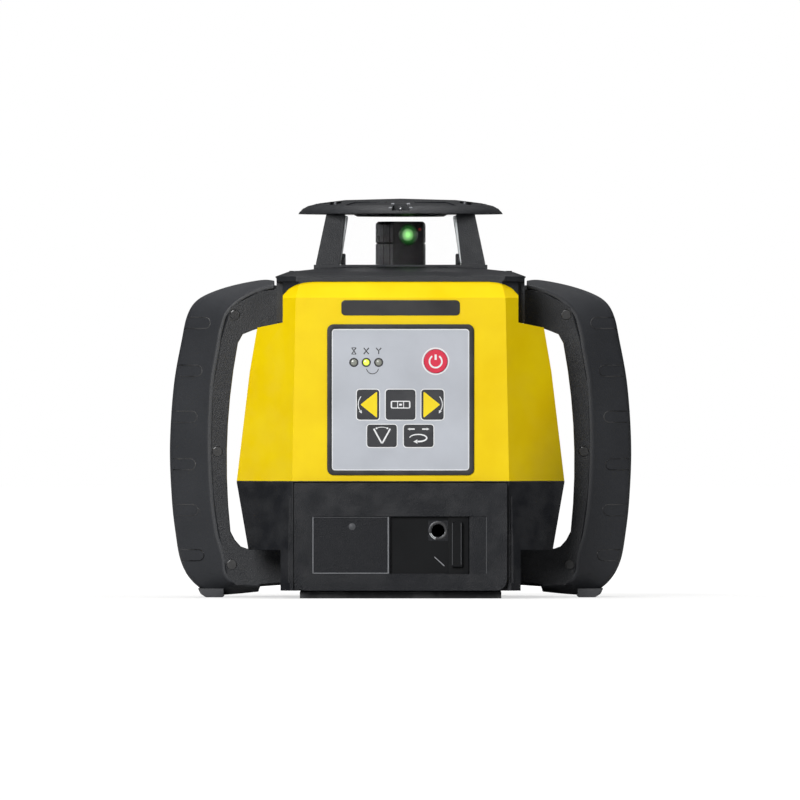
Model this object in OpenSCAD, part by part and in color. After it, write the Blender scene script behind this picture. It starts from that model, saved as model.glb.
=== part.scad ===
// Rotating laser level with two carrying handles and a slide-in battery pack.
// Origin: mouth of the tripod thread, on the plane the level stands on.
// +X right, -Y towards the keypad, +Z up. All sizes in millimetres.

/* [Body] */
// Depth of the housing from its front face to its rear face
body_d = 184; // [174:1:210]
// Half width of the flat front face at the seam
front_half = 56; // [56:0.5:60]
// Half width across the cheeks at the seam, the widest place of the body
cheek_half = 84.8; // [80:0.1:86]
// How much narrower the cheeks are at the top of the upper housing
cheek_taper = 14.8; // [10:0.1:18]
// Height of the seam between the lower and the upper housing
seam_z = 60; // [58:0.5:62]
// Height where the upper housing ends under the deck
housing_top = 163.4; // [160:0.1:172]
// Height of the deck's crown round the rotor
deck_top = 172.4; // [171:0.1:180]
// Wall of both housings and of the deck
wall = 3; // [2:0.1:4]
// Half width of the waist that the handles are fixed to
waist_half = 62; // [61:0.1:62.5]
// Half length of the waist's flat in the direction of depth
waist_depth = 36; // [30:1:40]

/* [Handles] */
// Half width of the whole level across both handles
handle_half = 120.2; // [116:0.1:130]
// Depth of a handle from its front face to its rear face
handle_d = 48; // [36:1:56]
// Depth of the narrow outermost strip of a handle
handle_edge_d = 16; // [8:1:24]
// Thickness of the rubber on the outside of a handle
rubber = 3; // [2:0.5:4]
// Height of a finger groove in the rubber
groove_h = 5.8; // [4:0.1:8]
// Depth of a finger groove
groove_depth = 1.4; // [0.8:0.1:1.8]

/* [Head] */
// Radius of the round hat over the rotor
hat_r = 53.2; // [50:0.1:60]
// Height of the hat's crown
hat_top = 207.1; // [206:0.1:220]
// Thickness of the window panes
pane_t = 2; // [1.5:0.1:3]

/* [Rotor and optics] */
// Radius of the rotor head
rotor_r = 12.9; // [11:0.1:13.5]
// Height of the rotor head's lower face
rotor_bottom = 171.6; // [170:0.1:173]
// Height of the rotor head's upper face
rotor_top = 195.1; // [190:0.1:195.5]
// Direction that the beam window faces, turned from the front to the right
rotor_aim = 24; // [0:1:90]
// Radius of the beam window
beam_r = 3.3; // [2:0.1:4]
// Radius of the hollow spindle that carries the rotor
spindle_r = 7; // [6:0.1:7.5]
// Radius of the beam's way through the spindle
spindle_bore = 4; // [3:0.1:5]
// Outer radius of the two spindle bearings
bearing_r = 11; // [10.5:0.1:12]
// Height of one spindle bearing
bearing_h = 6; // [4:0.5:7]
// Teethless belt pulley on the spindle, radius
driven_r = 14; // [12:0.5:15]
// Belt pulley on the drive motor, radius
pulley_r = 5.6; // [5:0.1:7]

/* [Levelling] */
// Height of the two crossed gimbal axes
pivot_z = 146; // [145:0.5:147]
// Largest tilt to either side, in degrees
tilt_max = 5; // [3:0.5:5]
// Outer radius of the laser barrel's lower tube
barrel_r = 18; // [17:0.1:19]
// Height of the laser barrel's lower end
barrel_bottom = 96; // [95:0.5:100]
// Inner radius of the gimbal ring
ring_in = 24; // [23.5:0.1:25]
// Outer radius of the gimbal ring
ring_out = 30; // [29:0.1:31]
// Radius of the gimbal pins
gimbal_pin_r = 2.5; // [2:0.1:3]
// Radius of the pin under the barrel that the two forks push
drive_pin_r = 2; // [1.5:0.1:2.5]

/* [Battery] */
// Half width of the battery pack's front plate
pack_half = 55; // [52:0.5:55.5]
// Depth of the battery pack behind its front plate
pack_d = 68; // [67:0.5:69]
// Radius of one battery cell
cell_r = 9.1; // [8:0.1:9.4]
// Length of one battery cell
cell_l = 64; // [50:1:64]

/* [Keypad] */
// Half width of the bezel round the keypad
bezel_half = 37.9; // [37:0.1:40]
// Height of the bezel's lower edge
bezel_low = 63.6; // [63:0.1:66]
// Height of the bezel's upper edge
bezel_high = 141.5; // [140:0.1:144]
// Key travel
key_travel = 0.8; // [0.5:0.1:1]
// Radius of the power key
power_r = 6; // [5:0.1:7]
// Radius of one indicator light
led_r = 1.8; // [1.2:0.1:2.2]

/* [Fits] */
// Radial clearance of a shaft that turns or slides in a bore
run = 0.05; // [0.02:0.01:0.1]
// Gap beside a part that moves past another
gap = 0.4; // [0.3:0.05:0.6]
// Radius of the 5/8 inch tripod thread at its crests
thread_r = 6.85; // [6.5:0.05:7.5]
// Length of the tripod thread
thread_l = 16; // [12:1:18]

/* [Hidden] */
$fn = 48;
eps = 0.01;

black = [0.13, 0.14, 0.16];
yellow = [1.0, 0.86, 0.02];
grey = [0.76, 0.78, 0.81];
metal = [0.72, 0.73, 0.75];
brass = [0.80, 0.66, 0.35];
green = [0.10, 0.45, 0.22];

// Body outline: front face, 45 degree corner, cheek, the same behind.
half_d = body_d / 2;
corner_w = 4.6;
foot_half = cheek_half - 9.8;
bevel_z = housing_top - 8.3;
bevel_in = 5;
base_t = 3.6;
low_z = base_t + 0.4;
seal_t = 0.6;
arm_low_z = 25;
arm_high_z = 142.4;
neck_half = 60.8;
flap_half = 64.1;
recess_slope = 0.56;
recess_reach = 110;
shoulder_in = 46;
deck_low = housing_top + 0.2;
deck_edge = 168.6;
neck_r = rotor_r + 3.6;
neck_ring_r = neck_r + 4.5;

function cheek_at(z) =
    z < seam_z ? foot_half + (cheek_half - foot_half) * (z - low_z) / (seam_z - low_z)
    : z < bulge_z ? cheek_half - bulge_drop * (z - seam_z) / (bulge_z - seam_z)
    : cheek_half - bulge_drop - (cheek_taper - bulge_drop) * (z - bulge_z) / (housing_top - bulge_z);
bulge_z = 117;
bulge_drop = cheek_taper * 0.46;

// Outline of the body at one height, drawn in by the wall w and set back by b.
module body_outline(z, w, b) {
    f = front_half - (z - seam_z) * 0.02 - w * 0.5 - b * 0.4;
    s = cheek_at(z) - w;
    y = half_d - w - b;
    k = f + corner_w;
    c = y - corner_w - (s - k);
    polygon([
        [-f, -y], [f, -y], [k, corner_w - y], [s, -c], [s, c], [k, y - corner_w],
        [f, y], [-f, y], [-k, y - corner_w], [-s, c], [-s, -c], [-k, corner_w - y]
    ]);
}

module body_slab(z, w, b) {
    translate([0, 0, z]) linear_extrude(eps) body_outline(z, w, b);
}

// Plan of the space beside the waist where the hand goes round the grip, grown by w into the body.
module recess_outline(w) {
    reach_y = waist_depth + w + (recess_reach - waist_half) * recess_slope;
    for (side = [-1, 1]) scale_x(side) polygon([
        [waist_half - w, -waist_depth - w], [recess_reach, -reach_y],
        [recess_reach, reach_y], [waist_half - w, waist_depth + w]
    ]);
}

module hand_recess(w, low, high) {
    translate([0, 0, low]) linear_extrude(high - low) recess_outline(w);
}

module scale_x(side) {
    if (side < 0) mirror([1, 0, 0]) children();
    else children();
}

module scale_y(side) {
    if (side < 0) mirror([0, 1, 0]) children();
    else children();
}

// What is cut off above the cheeks: a sloping ledge out to the side.
module ledge_above(w) {
    for (side = [-1, 1]) scale_x(side)
        rotate([90, 0, 0]) translate([0, 0, -half_d - 1]) linear_extrude(body_d + 2) polygon([
            [neck_half - w, arm_high_z - w], [recess_reach, arm_high_z - w - 9.8],
            [recess_reach, deck_top + 20], [neck_half - w, deck_top + 20]
        ]);
}

// What is cut off below the cheeks.
module ledge_below(w) {
    for (side = [-1, 1]) scale_x(side)
        rotate([90, 0, 0]) translate([0, 0, -half_d - 1]) linear_extrude(body_d + 2) polygon([
            [waist_half - w, -20], [recess_reach, -20],
            [recess_reach, arm_low_z + w], [waist_half - w, arm_low_z + w]
        ]);
}

module rounded_rect(half, low, high, r) {
    translate([-half + r, low]) square([2 * (half - r), high - low]);
    translate([-half, low + r]) square([2 * half, high - low - 2 * r]);
    for (x = [r - half, half - r], z = [low + r, high - r]) translate([x, z]) circle(r);
}

// Extrudes an upright outline (x, z) from depth y0 to depth y1.
module plate_y(y0, y1) {
    translate([0, y1, 0]) rotate([90, 0, 0]) linear_extrude(y1 - y0) children();
}

// Round bar along Y from y0 to y1.
module bar_y(x, z, r, y0, y1) {
    translate([x, y1, z]) rotate([90, 0, 0]) cylinder(r = r, h = y1 - y0);
}

// Round bar along X from x0 to x1.
module bar_x(y, z, r, x0, x1) {
    translate([x0, y, z]) rotate([0, 90, 0]) cylinder(r = r, h = x1 - x0);
}

module block(low, high) {
    translate(low) cube(high - low);
}

module upper_body(w, b) {
    difference() {
        hull() {
            body_slab(seam_z + seal_t, w, 0);
            body_slab(bulge_z, w, 0);
            body_slab(bevel_z, w, 0);
            body_slab(housing_top - b - eps, w, bevel_in);
        }
        hand_recess(w, arm_low_z, deck_top + 20);
        ledge_above(w);
    }
}

// Rounded upper corners, seen from the front, that the deck takes over from the housing.
module shoulder_corners() {
    for (side = [-1, 1]) scale_x(side)
        plate_y(-half_d - 1, half_d + 1) polygon([
            [shoulder_in, housing_top + 1], [shoulder_in, housing_top],
            [shoulder_in + 4, housing_top - 0.4], [shoulder_in + 8, housing_top - 1.5],
            [shoulder_in + 11.5, housing_top - 3.3], [shoulder_in + 13.6, housing_top - 5.6],
            [neck_half + 1, housing_top - 8], [neck_half + 1, housing_top + 1]
        ]);
}

module lower_body(w, floor_t) {
    difference() {
        hull() {
            body_slab(low_z + floor_t, w, 0);
            body_slab(seam_z - eps, w, 0);
        }
        hand_recess(w, -1, seam_z + 1);
        ledge_below(w);
    }
}

// Front face of the housing and what sits on it.
front_y = -half_d;
bezel_y = front_y - 1.2;
panel_y = front_y - 0.7;
bezel_t = 2.6;
bezel_frame = 2.4;
bezel_r = 3.3;
panel_t = 1.8;
window_half = bezel_half - 3.4;
window_low = bezel_low + 3.4;
window_high = bezel_high - 3.4;
badge_half = 30.6;
badge_low = 146;
badge_high = 153.9;

module upper_housing() {
    color(yellow) {
        difference() {
            upper_body(0, 0);
            difference() {
                translate([0, 0, -eps]) upper_body(wall, -2 * wall);
                screw_posts();
            }
            shoulder_corners();
            for (x = [-post_x, post_x], y = [-post_y, post_y])
                cylinder_at(x, y, 1.6, housing_top - 12, housing_top + 1);
            plate_y(front_y - 1, front_y + wall + 1) rounded_rect(window_half, window_low, window_high, 2);
            plate_y(front_y - 1, panel_y + panel_t)
                rounded_rect(bezel_half, bezel_low, bezel_high, bezel_r);
            plate_y(front_y - 1, front_y + 0.8) rounded_rect(badge_half, badge_low, badge_high, 2);
        }
    }
}

// Posts inside the upper housing that take the screws of the deck.
post_x = neck_half - wall - 3.4;
post_y = 64;
module screw_posts() {
    for (x = [-post_x, post_x], y = [-post_y, post_y])
        translate([x, y, housing_top - 26]) cylinder(r = 4.5, h = 30);
}

bay_half = pack_half - 3.4;
bay_t = 1.6;
bay_low = low_z + wall + bay_t;
bay_high = seam_z - 2.4;
pack_y = -half_d - 4;
plate_back = pack_y + 6;
bay_back = plate_back + pack_d + 2;
groove_x = pack_half + 2.4;

module lower_housing() {
    color(black) {
        difference() {
            lower_body(0, 0);
            translate([0, 0, wall]) lower_body_hollow();
            cylinder_at(0, 0, bush_r + 0.2, low_z - 1, low_z + wall + 1);
            for (x = [-post_x, post_x], y = [-post_y, post_y])
                cylinder_at(base_x(x), y, 2, low_z - 1, low_z + wall + 1);
            block([-pack_half - gap, front_y - 1, low_z - 1], [pack_half + gap, plate_back, seam_z + 1]);
            block([-bay_half - bay_t - 0.1, front_y - 1, bay_low - bay_t - 0.1],
                  [bay_half + bay_t + 0.1, plate_back + 12, bay_high + bay_t + 0.1]);
            for (x = [-groove_x, groove_x])
                block([x - 0.8, front_y - 1, 8], [x + 0.8, front_y + 1.4, seam_z - 7]);
        }
    }
}

module lower_body_hollow() {
    difference() {
        hull() {
            body_slab(low_z, wall, 0);
            body_slab(seam_z + 1, wall, 0);
        }
        hand_recess(wall, -1, seam_z + 5);
        translate([0, 0, -wall]) ledge_below(wall);
    }
}

bush_r = 13;
base_half = 52;
module base_plate() {
    color(metal)
        difference() {
            linear_extrude(base_t) difference() {
                square([2 * base_half, 2 * (half_d - 8)], center = true);
                circle(bush_r + 0.02);
            }
            for (x = [-post_x, post_x], y = [-post_y, post_y]) {
                cylinder_at(base_x(x), y, 2, -1, base_t + 1);
                cylinder_at(base_x(x), y, 4, -1, 1.6);
            }
        }
}

module tripod_bush() {
    color(brass)
        difference() {
            union() {
                cylinder(r = bush_r, h = low_z + wall + 2);
                translate([0, 0, low_z + wall]) cylinder(r = bush_r + 4, h = 3);
                cylinder(r = bush_r - 2, h = thread_l + 4);
            }
            translate([0, 0, -eps]) cylinder(r = thread_r, h = thread_l + eps);
        }
}

module seam_seal() {
    color(black)
        translate([0, 0, seam_z]) linear_extrude(seal_t)
            difference() {
                seal_outline(0);
                seal_outline(wall);
            }
}

module seal_outline(w) {
    difference() {
        body_outline(seam_z, w, 0);
        recess_outline(w);
    }
}

module battery_bay() {
    color(black)
        difference() {
            block([-bay_half - bay_t, plate_back, bay_low - bay_t],
                  [bay_half + bay_t, bay_back + bay_t, bay_high + bay_t]);
            block([-bay_half, plate_back - 1, bay_low], [bay_half, bay_back, bay_high]);
        }
}
// Deck: sloping black cover with a skirt down both waists.
deck_half = 64.6;
module deck_solid(w) {
    hull() {
        translate([0, 0, deck_low - w]) linear_extrude(eps) deck_outline(w, bevel_in - 0.4);
        translate([0, 0, deck_low + 2.6 - w]) linear_extrude(eps) deck_outline(w, bevel_in);
        translate([0, 0, deck_edge - w]) linear_extrude(eps) deck_outline(w + 6.4, bevel_in + 2);
        translate([0, 0, deck_top - w - 0.6]) cylinder(r = neck_ring_r + 6, h = 0.5, $fn = 32);
    }
}

module deck_outline(w, b) {
    x = deck_half - w;
    y = half_d - b - w;
    f = front_half - 2 - w * 0.5;
    k = f + corner_w;
    c = y - corner_w - (x - k);
    polygon([
        [-f, -y], [f, -y], [k, corner_w - y], [x, -c], [x, c], [k, y - corner_w],
        [f, y], [-f, y], [-k, y - corner_w], [-x, c], [-x, -c], [-k, corner_w - y]
    ]);
}

module top_deck() {
    color(black)
        difference() {
            union() {
                difference() {
                    deck_solid(0);
                    translate([0, 0, -eps]) deck_solid(wall);
                }
                cylinder_at(0, 0, neck_ring_r, deck_low + 1.6, deck_top);
                for (x = [-post_x, post_x], y = [-post_y, post_y])
                    cylinder_at(x, y, 4.5, housing_top, deck_edge - 1);
                for (side = [-1, 1]) scale_x(side)
                    block([neck_half, -deck_skirt, arm_high_z], [flap_half, deck_skirt, deck_low + 1]);
                intersection() {
                    shoulder_corners();
                    upper_body(0, -1);
                }
            }
            for (side = [-1, 1]) scale_x(side)
                block([flap_half, -body_d, deck_low - 1], [recess_reach, body_d, eave_z]);
            cylinder_at(0, 0, neck_r, 0, deck_top + 1);
            for (x = [-post_x, post_x], y = [-post_y, post_y]) {
                cylinder_at(x, y, 1.7, 0, deck_top + 1);
                cylinder_at(x, y, 3.4, deck_edge - 1, deck_top + 1);
            }
        }
}

module housing_screws() {
    color(metal)
        for (x = [-post_x, post_x], y = [-post_y, post_y]) {
            cylinder_at(x, y, 3.2, deck_edge - 1, deck_edge + 0.6);
            cylinder_at(x, y, 1.5, housing_top - 10, deck_edge - 1);
            cylinder_at(base_x(x), y, 3.9, 0.4, 1.6);
            cylinder_at(base_x(x), y, 1.9, 1.6, low_z + wall - 0.4);
        }
}
function base_x(x) = x - sign(x) * 10;
deck_skirt = half_d - 20;
eave_z = deck_low + 2;

module cylinder_at(x, y, r, z0, z1) {
    translate([x, y, z0]) cylinder(r = r, h = z1 - z0);
}

// Head: four leaning posts between the deck and the hat, with panes between them.
hat_rim = 199;
hat_boss = 197.7;
hat_boss_r = 22.5;
post_top_out = [38.5, 31];
post_top_in = [28.8, 23];
post_low_out = [43.9, 36];
post_low_in = [31.6, 26];
post_low_z = 171.2;
frame_t = 1.6;
head_ring = [45, 38];
frame_low = deck_top;

module head_post() {
    hull() {
        block_xy(post_low_in, post_low_out, frame_low, frame_low + 0.8);
        block_xy(post_top_in, post_top_out, hat_rim - 1.2, hat_rim - 0.2);
    }
}

module block_xy(low, high, z0, z1) {
    block([low[0], low[1], z0], [high[0], high[1], z1]);
}

module head_frame() {
    color(black)
        difference() {
            union() {
                for (x = [-1, 1], y = [-1, 1]) scale_x(x) scale_y(y) head_post();
                block([-head_ring[0], -head_ring[1], deck_top - 3.4],
                      [head_ring[0], head_ring[1], frame_low + 0.1]);
            }
            cylinder_at(0, 0, neck_ring_r + 0.1, 0, deck_top + 1);
            translate([0, 0, 0.05]) deck_solid(0);
            panes(pane_t + 0.2);
            for (x = [-1, 1], y = [-1, 1])
                cylinder_at(x * hat_screw_x, y * hat_screw_y, 1.3, hat_rim - 10, hat_rim + 1);
        }
}
hat_screw_x = 33.6;
hat_screw_y = 27;

// Leaning panes: each is a flat sheet between two posts.
pane_low = frame_low + 0.3;
pane_high = hat_rim - 0.4;
pane_low_y = 32.5;
pane_high_y = 28.2;
pane_low_x = 39.4;
pane_high_x = 34.6;
pane_grip = 2.2;
module panes(t) {
    for (y = [-1, 1]) scale_y(y)
        rotate([90, 0, 90]) translate([0, 0, -post_top_in[0] - pane_grip])
            linear_extrude(2 * (post_top_in[0] + pane_grip)) pane_profile(pane_low_y, pane_high_y, t);
    for (x = [-1, 1]) scale_x(x)
        rotate([90, 0, 0]) translate([0, 0, -post_top_in[1] - pane_grip])
            linear_extrude(2 * (post_top_in[1] + pane_grip)) pane_profile(pane_low_x, pane_high_x, t);
}

module pane_profile(low, high, t) {
    polygon([
        [low - t / 2, pane_low], [low + t / 2, pane_low],
        [high + t / 2, pane_high], [high - t / 2, pane_high]
    ]);
}

module window_panes() {
    color([0.8, 0.86, 0.88, 0.35]) panes(pane_t);
}

// Hat: a shallow dome with four sight notches and framed fields between them.
notch_top = 2.2;
notch_low = 4.6;
field_start = 10;
hat_drop = hat_top - hat_rim;
module hat_profile() {
    polygon([
        [0, hat_boss], [hat_boss_r, hat_boss], [hat_boss_r + 2.5, hat_rim], [hat_r, hat_rim],
        [hat_r - 0.7, hat_rim + 1.1], [hat_r - 2, hat_rim + 2.6], [hat_r - 4.9, hat_rim + 4.2],
        [hat_r - 11.1, hat_rim + 5.7], [hat_r - 24, hat_top - 0.8], [0, hat_top]
    ]);
}

// One sunk field beside a sight notch; turn and span are angles round the hat.
module hat_field(turn, span) {
    rotate(turn) rotate_extrude(angle = span, $fn = 96) polygon([
        [hat_r - 15, hat_top - 2.6], [hat_r - 11.1, hat_rim + 5], [hat_r - 5.2, hat_rim + 3.6],
        [hat_r - 5.2, hat_top + 1], [hat_r - 15, hat_top + 1]
    ]);
}

module hat() {
    color(black)
        difference() {
            rotate_extrude($fn = 96) hat_profile();
            for (turn = [0, 180]) {
                hat_field(turn - 90 + field_start, 27);
                hat_field(turn - 90 - field_start - 27, 27);
                hat_field(turn + field_start, 21);
                hat_field(turn - field_start - 21, 21);
            }
            for (turn = [0 : 90 : 270]) rotate(turn) {
                translate([0, -hat_r + 8, hat_rim + 1.5]) rotate([90, 0, 0]) linear_extrude(20)
                    polygon([[-notch_low, 0], [notch_low, 0], [notch_top, 9], [-notch_top, 9]]);
            }
            for (x = [-1, 1], y = [-1, 1]) {
                cylinder_at(x * hat_screw_x, y * hat_screw_y, 1.7, hat_rim - 2, hat_top + 1);
                cylinder_at(x * hat_screw_x, y * hat_screw_y, 3.2, hat_top - 3.6, hat_top + 1);
            }
        }
}

module hat_screws() {
    color(metal)
        for (x = [-1, 1], y = [-1, 1]) {
            cylinder_at(x * hat_screw_x, y * hat_screw_y, 3, hat_top - 3.6, hat_top - 1.9);
            cylinder_at(x * hat_screw_x, y * hat_screw_y, 1.3, hat_rim - 8, hat_top - 3.6);
        }
}

module sight_pins() {
    color(metal)
        for (turn = [0 : 90 : 270]) rotate(turn)
            cylinder_at(0, -hat_r + 3.4, 0.9, hat_rim + 1.5, hat_rim + 4.6);
}

// Handle: a C round the waist. Its outline is two flat arcs joined by rounded corners.
side_r = 285;
side_mid = 78;
inner_r = 335;
inner_mid = 70;
grip_w = 29.7;
arm_root = waist_half - 14;
drawn_half = 120.2;
handle_grow = handle_half - drawn_half;
function arc_x(reach, r, mid, z) = reach - r + sqrt(r * r - (z - mid) * (z - mid));
function side_x(z) = arc_x(handle_half, side_r, side_mid, z);
function inner_x(z) = arc_x(handle_half - grip_w, inner_r, inner_mid, z);

module outer_outline() {
    d = handle_grow;
    polygon(concat(
        [[arm_root, 164], [71.6, 165.3], [86.9 + d / 2, 162.3], [99.8 + d, 158.2], [106 + d, 154.4],
         [109.4 + d, 150.2]],
        [for (z = [146 : -16 : 18]) [side_x(z), z]],
        [[112.7 + d, 13.2], [109.9 + d, 9.3], [105 + d, 5.2], [98.7 + d, 1.2], [91, 1.2], [arm_root, 4.3]]
    ));
}

// Edge of the flat front face, where the slanted side begins.
module face_outline() {
    d = handle_grow;
    polygon([
        [arm_root, 163.6], [73.2, 160.9], [89.7 + d, 152.2], [94.9 + d, 133.9], [99.3 + d, 108.6],
        [100.2 + d, 76], [99 + d, 53], [96.6 + d, 35.7], [91.4 + d, 9.3], [86 + d, 4.2], [arm_root, 6.4]
    ]);
}

module inner_outline() {
    d = handle_grow;
    polygon(concat(
        [[waist_half - 4, 142.4], [flap_half, 141.8], [71.6, 140.6], [77.8 + d, 138.4], [82.2 + d, 136.6]],
        [for (z = [132 : -14 : 34]) [inner_x(z), z]],
        [[86.3 + d, 29.6], [83.3 + d, 26.2], [80, arm_low_z], [waist_half - 4, arm_low_z]]
    ));
}

module handle_block(skin) {
    hull() {
        plate_y(-handle_edge_d / 2, handle_edge_d / 2) offset(delta = -skin) outer_outline();
        plate_y(-handle_d / 2, handle_d / 2) offset(delta = -skin * 0.7) face_outline();
    }
}

module handle_side() {
    translate([0, 0, -1]) linear_extrude(arm_low_z + 20)
        square([2 * waist_half, handle_d + 10], center = true);
    translate([0, 0, arm_low_z]) linear_extrude(200)
        square([2 * flap_half, handle_d + 10], center = true);
}

module handle_core() {
    color(black)
        difference() {
            handle_block(rubber);
            plate_y(-handle_d, handle_d) inner_outline();
            handle_side();
            handle_holes(1.2, handle_d / 2 - 9);
            handle_holes(2.7, handle_d / 2 - 1.8);
            block([foot_in, -foot_half_l - 0.2, -5], [foot_out, foot_half_l + 0.2, foot_top]);
        }
}

module handle_grip() {
    color(black)
        difference() {
            handle_block(0);
            handle_block(rubber);
            plate_y(-handle_d, handle_d) offset(delta = 0.02) inner_outline();
            handle_side();
            block([flap_half - 5, -40, -5], [72, 40, 200]);
            block([foot_in - 0.1, -foot_half_l - 0.2, -5], [foot_out + 0.1, foot_half_l + 0.2, foot_top]);
            difference() {
                for (z = groove_z)
                    block([arc_x(handle_half - 14, side_r / 3, side_mid + 4, z), -40, z - groove_h / 2],
                          [handle_half + 9, 40, z + groove_h / 2]);
                handle_block(groove_depth);
            }
        }
}
groove_z = [for (i = [0 : 5]) 21.8 + i * 24.1];
foot_in = 91.8;
foot_out = 105.2;
foot_top = 4.6;
foot_half_l = 19.8;

// Screws of the handles, as far as one handle is concerned: [x, z].
handle_screw_at = [[85.9, 146.6], [95 + handle_grow, 75.7], [87.6, 17]];
module handle_holes(r, y) {
    for (p = handle_screw_at) bar_y(p[0], p[1], r, -handle_d, -y);
}

module left_handle() mirror([1, 0, 0]) handle_core();
module right_handle() handle_core();
module left_grip() mirror([1, 0, 0]) handle_grip();
module right_grip() handle_grip();

module handle_screws() {
    color(metal)
        for (side = [-1, 1]) scale_x(side)
            for (p = handle_screw_at) {
                bar_y(p[0], p[1], 2.5, -handle_d / 2 + 0.4, -handle_d / 2 + 1.8);
                bar_y(p[0], p[1], 1.18, -handle_d / 2 + 1.8, -handle_d / 2 + 8.5);
            }
}

module handle_feet() {
    color(black)
        for (side = [-1, 1]) scale_x(side)
            plate_y(-foot_half_l, foot_half_l) polygon([
                [foot_in, foot_top], [foot_in, 0.5], [foot_in + 0.7, 0],
                [foot_out - 4.2, 0], [foot_out - 1.4, 1.8], [foot_out, foot_top]
            ]);
}
// Keypad: a bezel let into the front face, a panel inside it and keys through the panel.
panel_half = bezel_half - bezel_frame;
panel_low = bezel_low + bezel_frame;
panel_high = bezel_high - bezel_frame;
panel_back = panel_y + panel_t;
key_proud = 0.8;
flange_t = 1;
flange_w = 1;
key_back = panel_back + 2.6;
board_y = key_back + key_travel + 0.2;
board_t = 1.6;

// Keys: left edge, right edge, lower edge, upper edge.
key_left = [-22.3, -11.3, 92.5, 107.5];
key_level = [-7.4, 7.4, 92.5, 107.5];
key_right = [11, 22, 92.5, 107.5];
key_slope = [-17, -2.2, 78.4, 89.4];
key_scan = [1.9, 16.7, 78.4, 89.4];
keys = [key_left, key_level, key_right, key_slope, key_scan];
power_at = [18.1, 122.4];
led_at = [[-24.1, 121.8], [-17.7, 121.8], [-11.3, 121.8]];

module key_shape(k, grow) {
    translate([(k[0] + k[1]) / 2, (k[2] + k[3]) / 2])
        rounded_rect((k[1] - k[0]) / 2 + grow, -(k[3] - k[2]) / 2 - grow, (k[3] - k[2]) / 2 + grow, 1.3);
}

module key(k) {
    color(black) {
        plate_y(panel_y - key_proud, panel_back + eps) key_shape(k, 0);
        plate_y(panel_back, panel_back + flange_t) key_shape(k, flange_w);
        bar_y((k[0] + k[1]) / 2, (k[2] + k[3]) / 2, 3, panel_back + flange_t - eps, key_back);
    }
}

module keypad_bezel() {
    color(black)
        plate_y(bezel_y, panel_back) difference() {
            rounded_rect(bezel_half - 0.05, bezel_low + 0.05, bezel_high - 0.05, bezel_r);
            rounded_rect(panel_half + 0.05, panel_low - 0.05, panel_high + 0.05, bezel_r - 1.4);
        }
}

module keypad_panel() {
    color(grey)
        plate_y(panel_y, panel_back) difference() {
            rounded_rect(panel_half, panel_low, panel_high, bezel_r - 1.4);
            for (k = keys) key_shape(k, gap / 2);
            translate(power_at) circle(power_r + gap / 2);
            for (p = led_at) translate(p) circle(led_r + run);
        }
}

module power_key() {
    color([0.78, 0.05, 0.12]) {
        bar_y(power_at[0], power_at[1], power_r, panel_y - key_proud, panel_back + eps);
        bar_y(power_at[0], power_at[1], power_r + flange_w, panel_back, panel_back + flange_t);
        bar_y(power_at[0], power_at[1], 3, panel_back + flange_t - eps, key_back);
    }
}

module left_key() key(key_left);
module level_key() key(key_level);
module right_key() key(key_right);
module slope_key() key(key_slope);
module scan_key() key(key_scan);

module indicator_lights() {
    color([0.8, 0.85, 0.7])
        for (p = led_at) bar_y(p[0], p[1], led_r, panel_y - 0.4, board_y);
}

module keypad_board() {
    color(green) {
        plate_y(board_y, board_y + board_t) translate([-window_half + 1.5, window_low + 1.5])
            square([2 * window_half - 3, window_high - window_low - 3]);
        for (x = [-1, 1], z = [window_low + 4, window_high - 4])
            bar_y(x * (window_half - 3.5), z, 1.6, panel_back, board_y + eps);
    }
}

module badge_plate() {
    color(black)
        plate_y(front_y - 0.5, front_y + 0.8)
            rounded_rect(badge_half - 0.05, badge_low + 0.05, badge_high - 0.05, 2);
}

board_half = 44;
board_low = 84;
board_high = 136;
rear_inner = half_d - wall;
module main_board() {
    color(green) {
        difference() {
            union() {
                block([-board_half, rear_inner - 12, board_low],
                      [board_half, rear_inner - 10.4, board_high]);
                for (x = [-1, 1], z = [board_low + 5, board_high - 5])
                    bar_y(x * (board_half - 5), z, 3, rear_inner - 10.5, rear_inner);
            }
            for (x = [-1, 1], z = [board_low + 5, board_high - 5])
                bar_y(x * (board_half - 5), z, 1.3, rear_inner - 13, rear_inner - 2);
        }
        for (p = [[-24, 112, 9], [8, 118, 7], [26, 98, 8], [-6, 96, 6]])
            block([p[0] - p[2], rear_inner - 14.4, p[1] - p[2]],
                  [p[0] + p[2], rear_inner - 12, p[1] + p[2]]);
    }
}

// Chassis inside the housing: a plate with two columns that carry the gimbal.
chassis_z = 66;
chassis_t = 3;
chassis_top = chassis_z + chassis_t;
column_in = ring_out + 4;
column_out = column_in + 7;
column_half = 9;
leg_x = 44;
leg_y = 40;
fork_x_arm = 60;
fork_y_arm = 68;
fork_x_z = pivot_z - fork_x_arm;
fork_y_z = pivot_z - fork_y_arm;
motor_half = 6.5;
fork_reach = 20;
motor_x_start = 12;
motor_l = 18;

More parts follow.
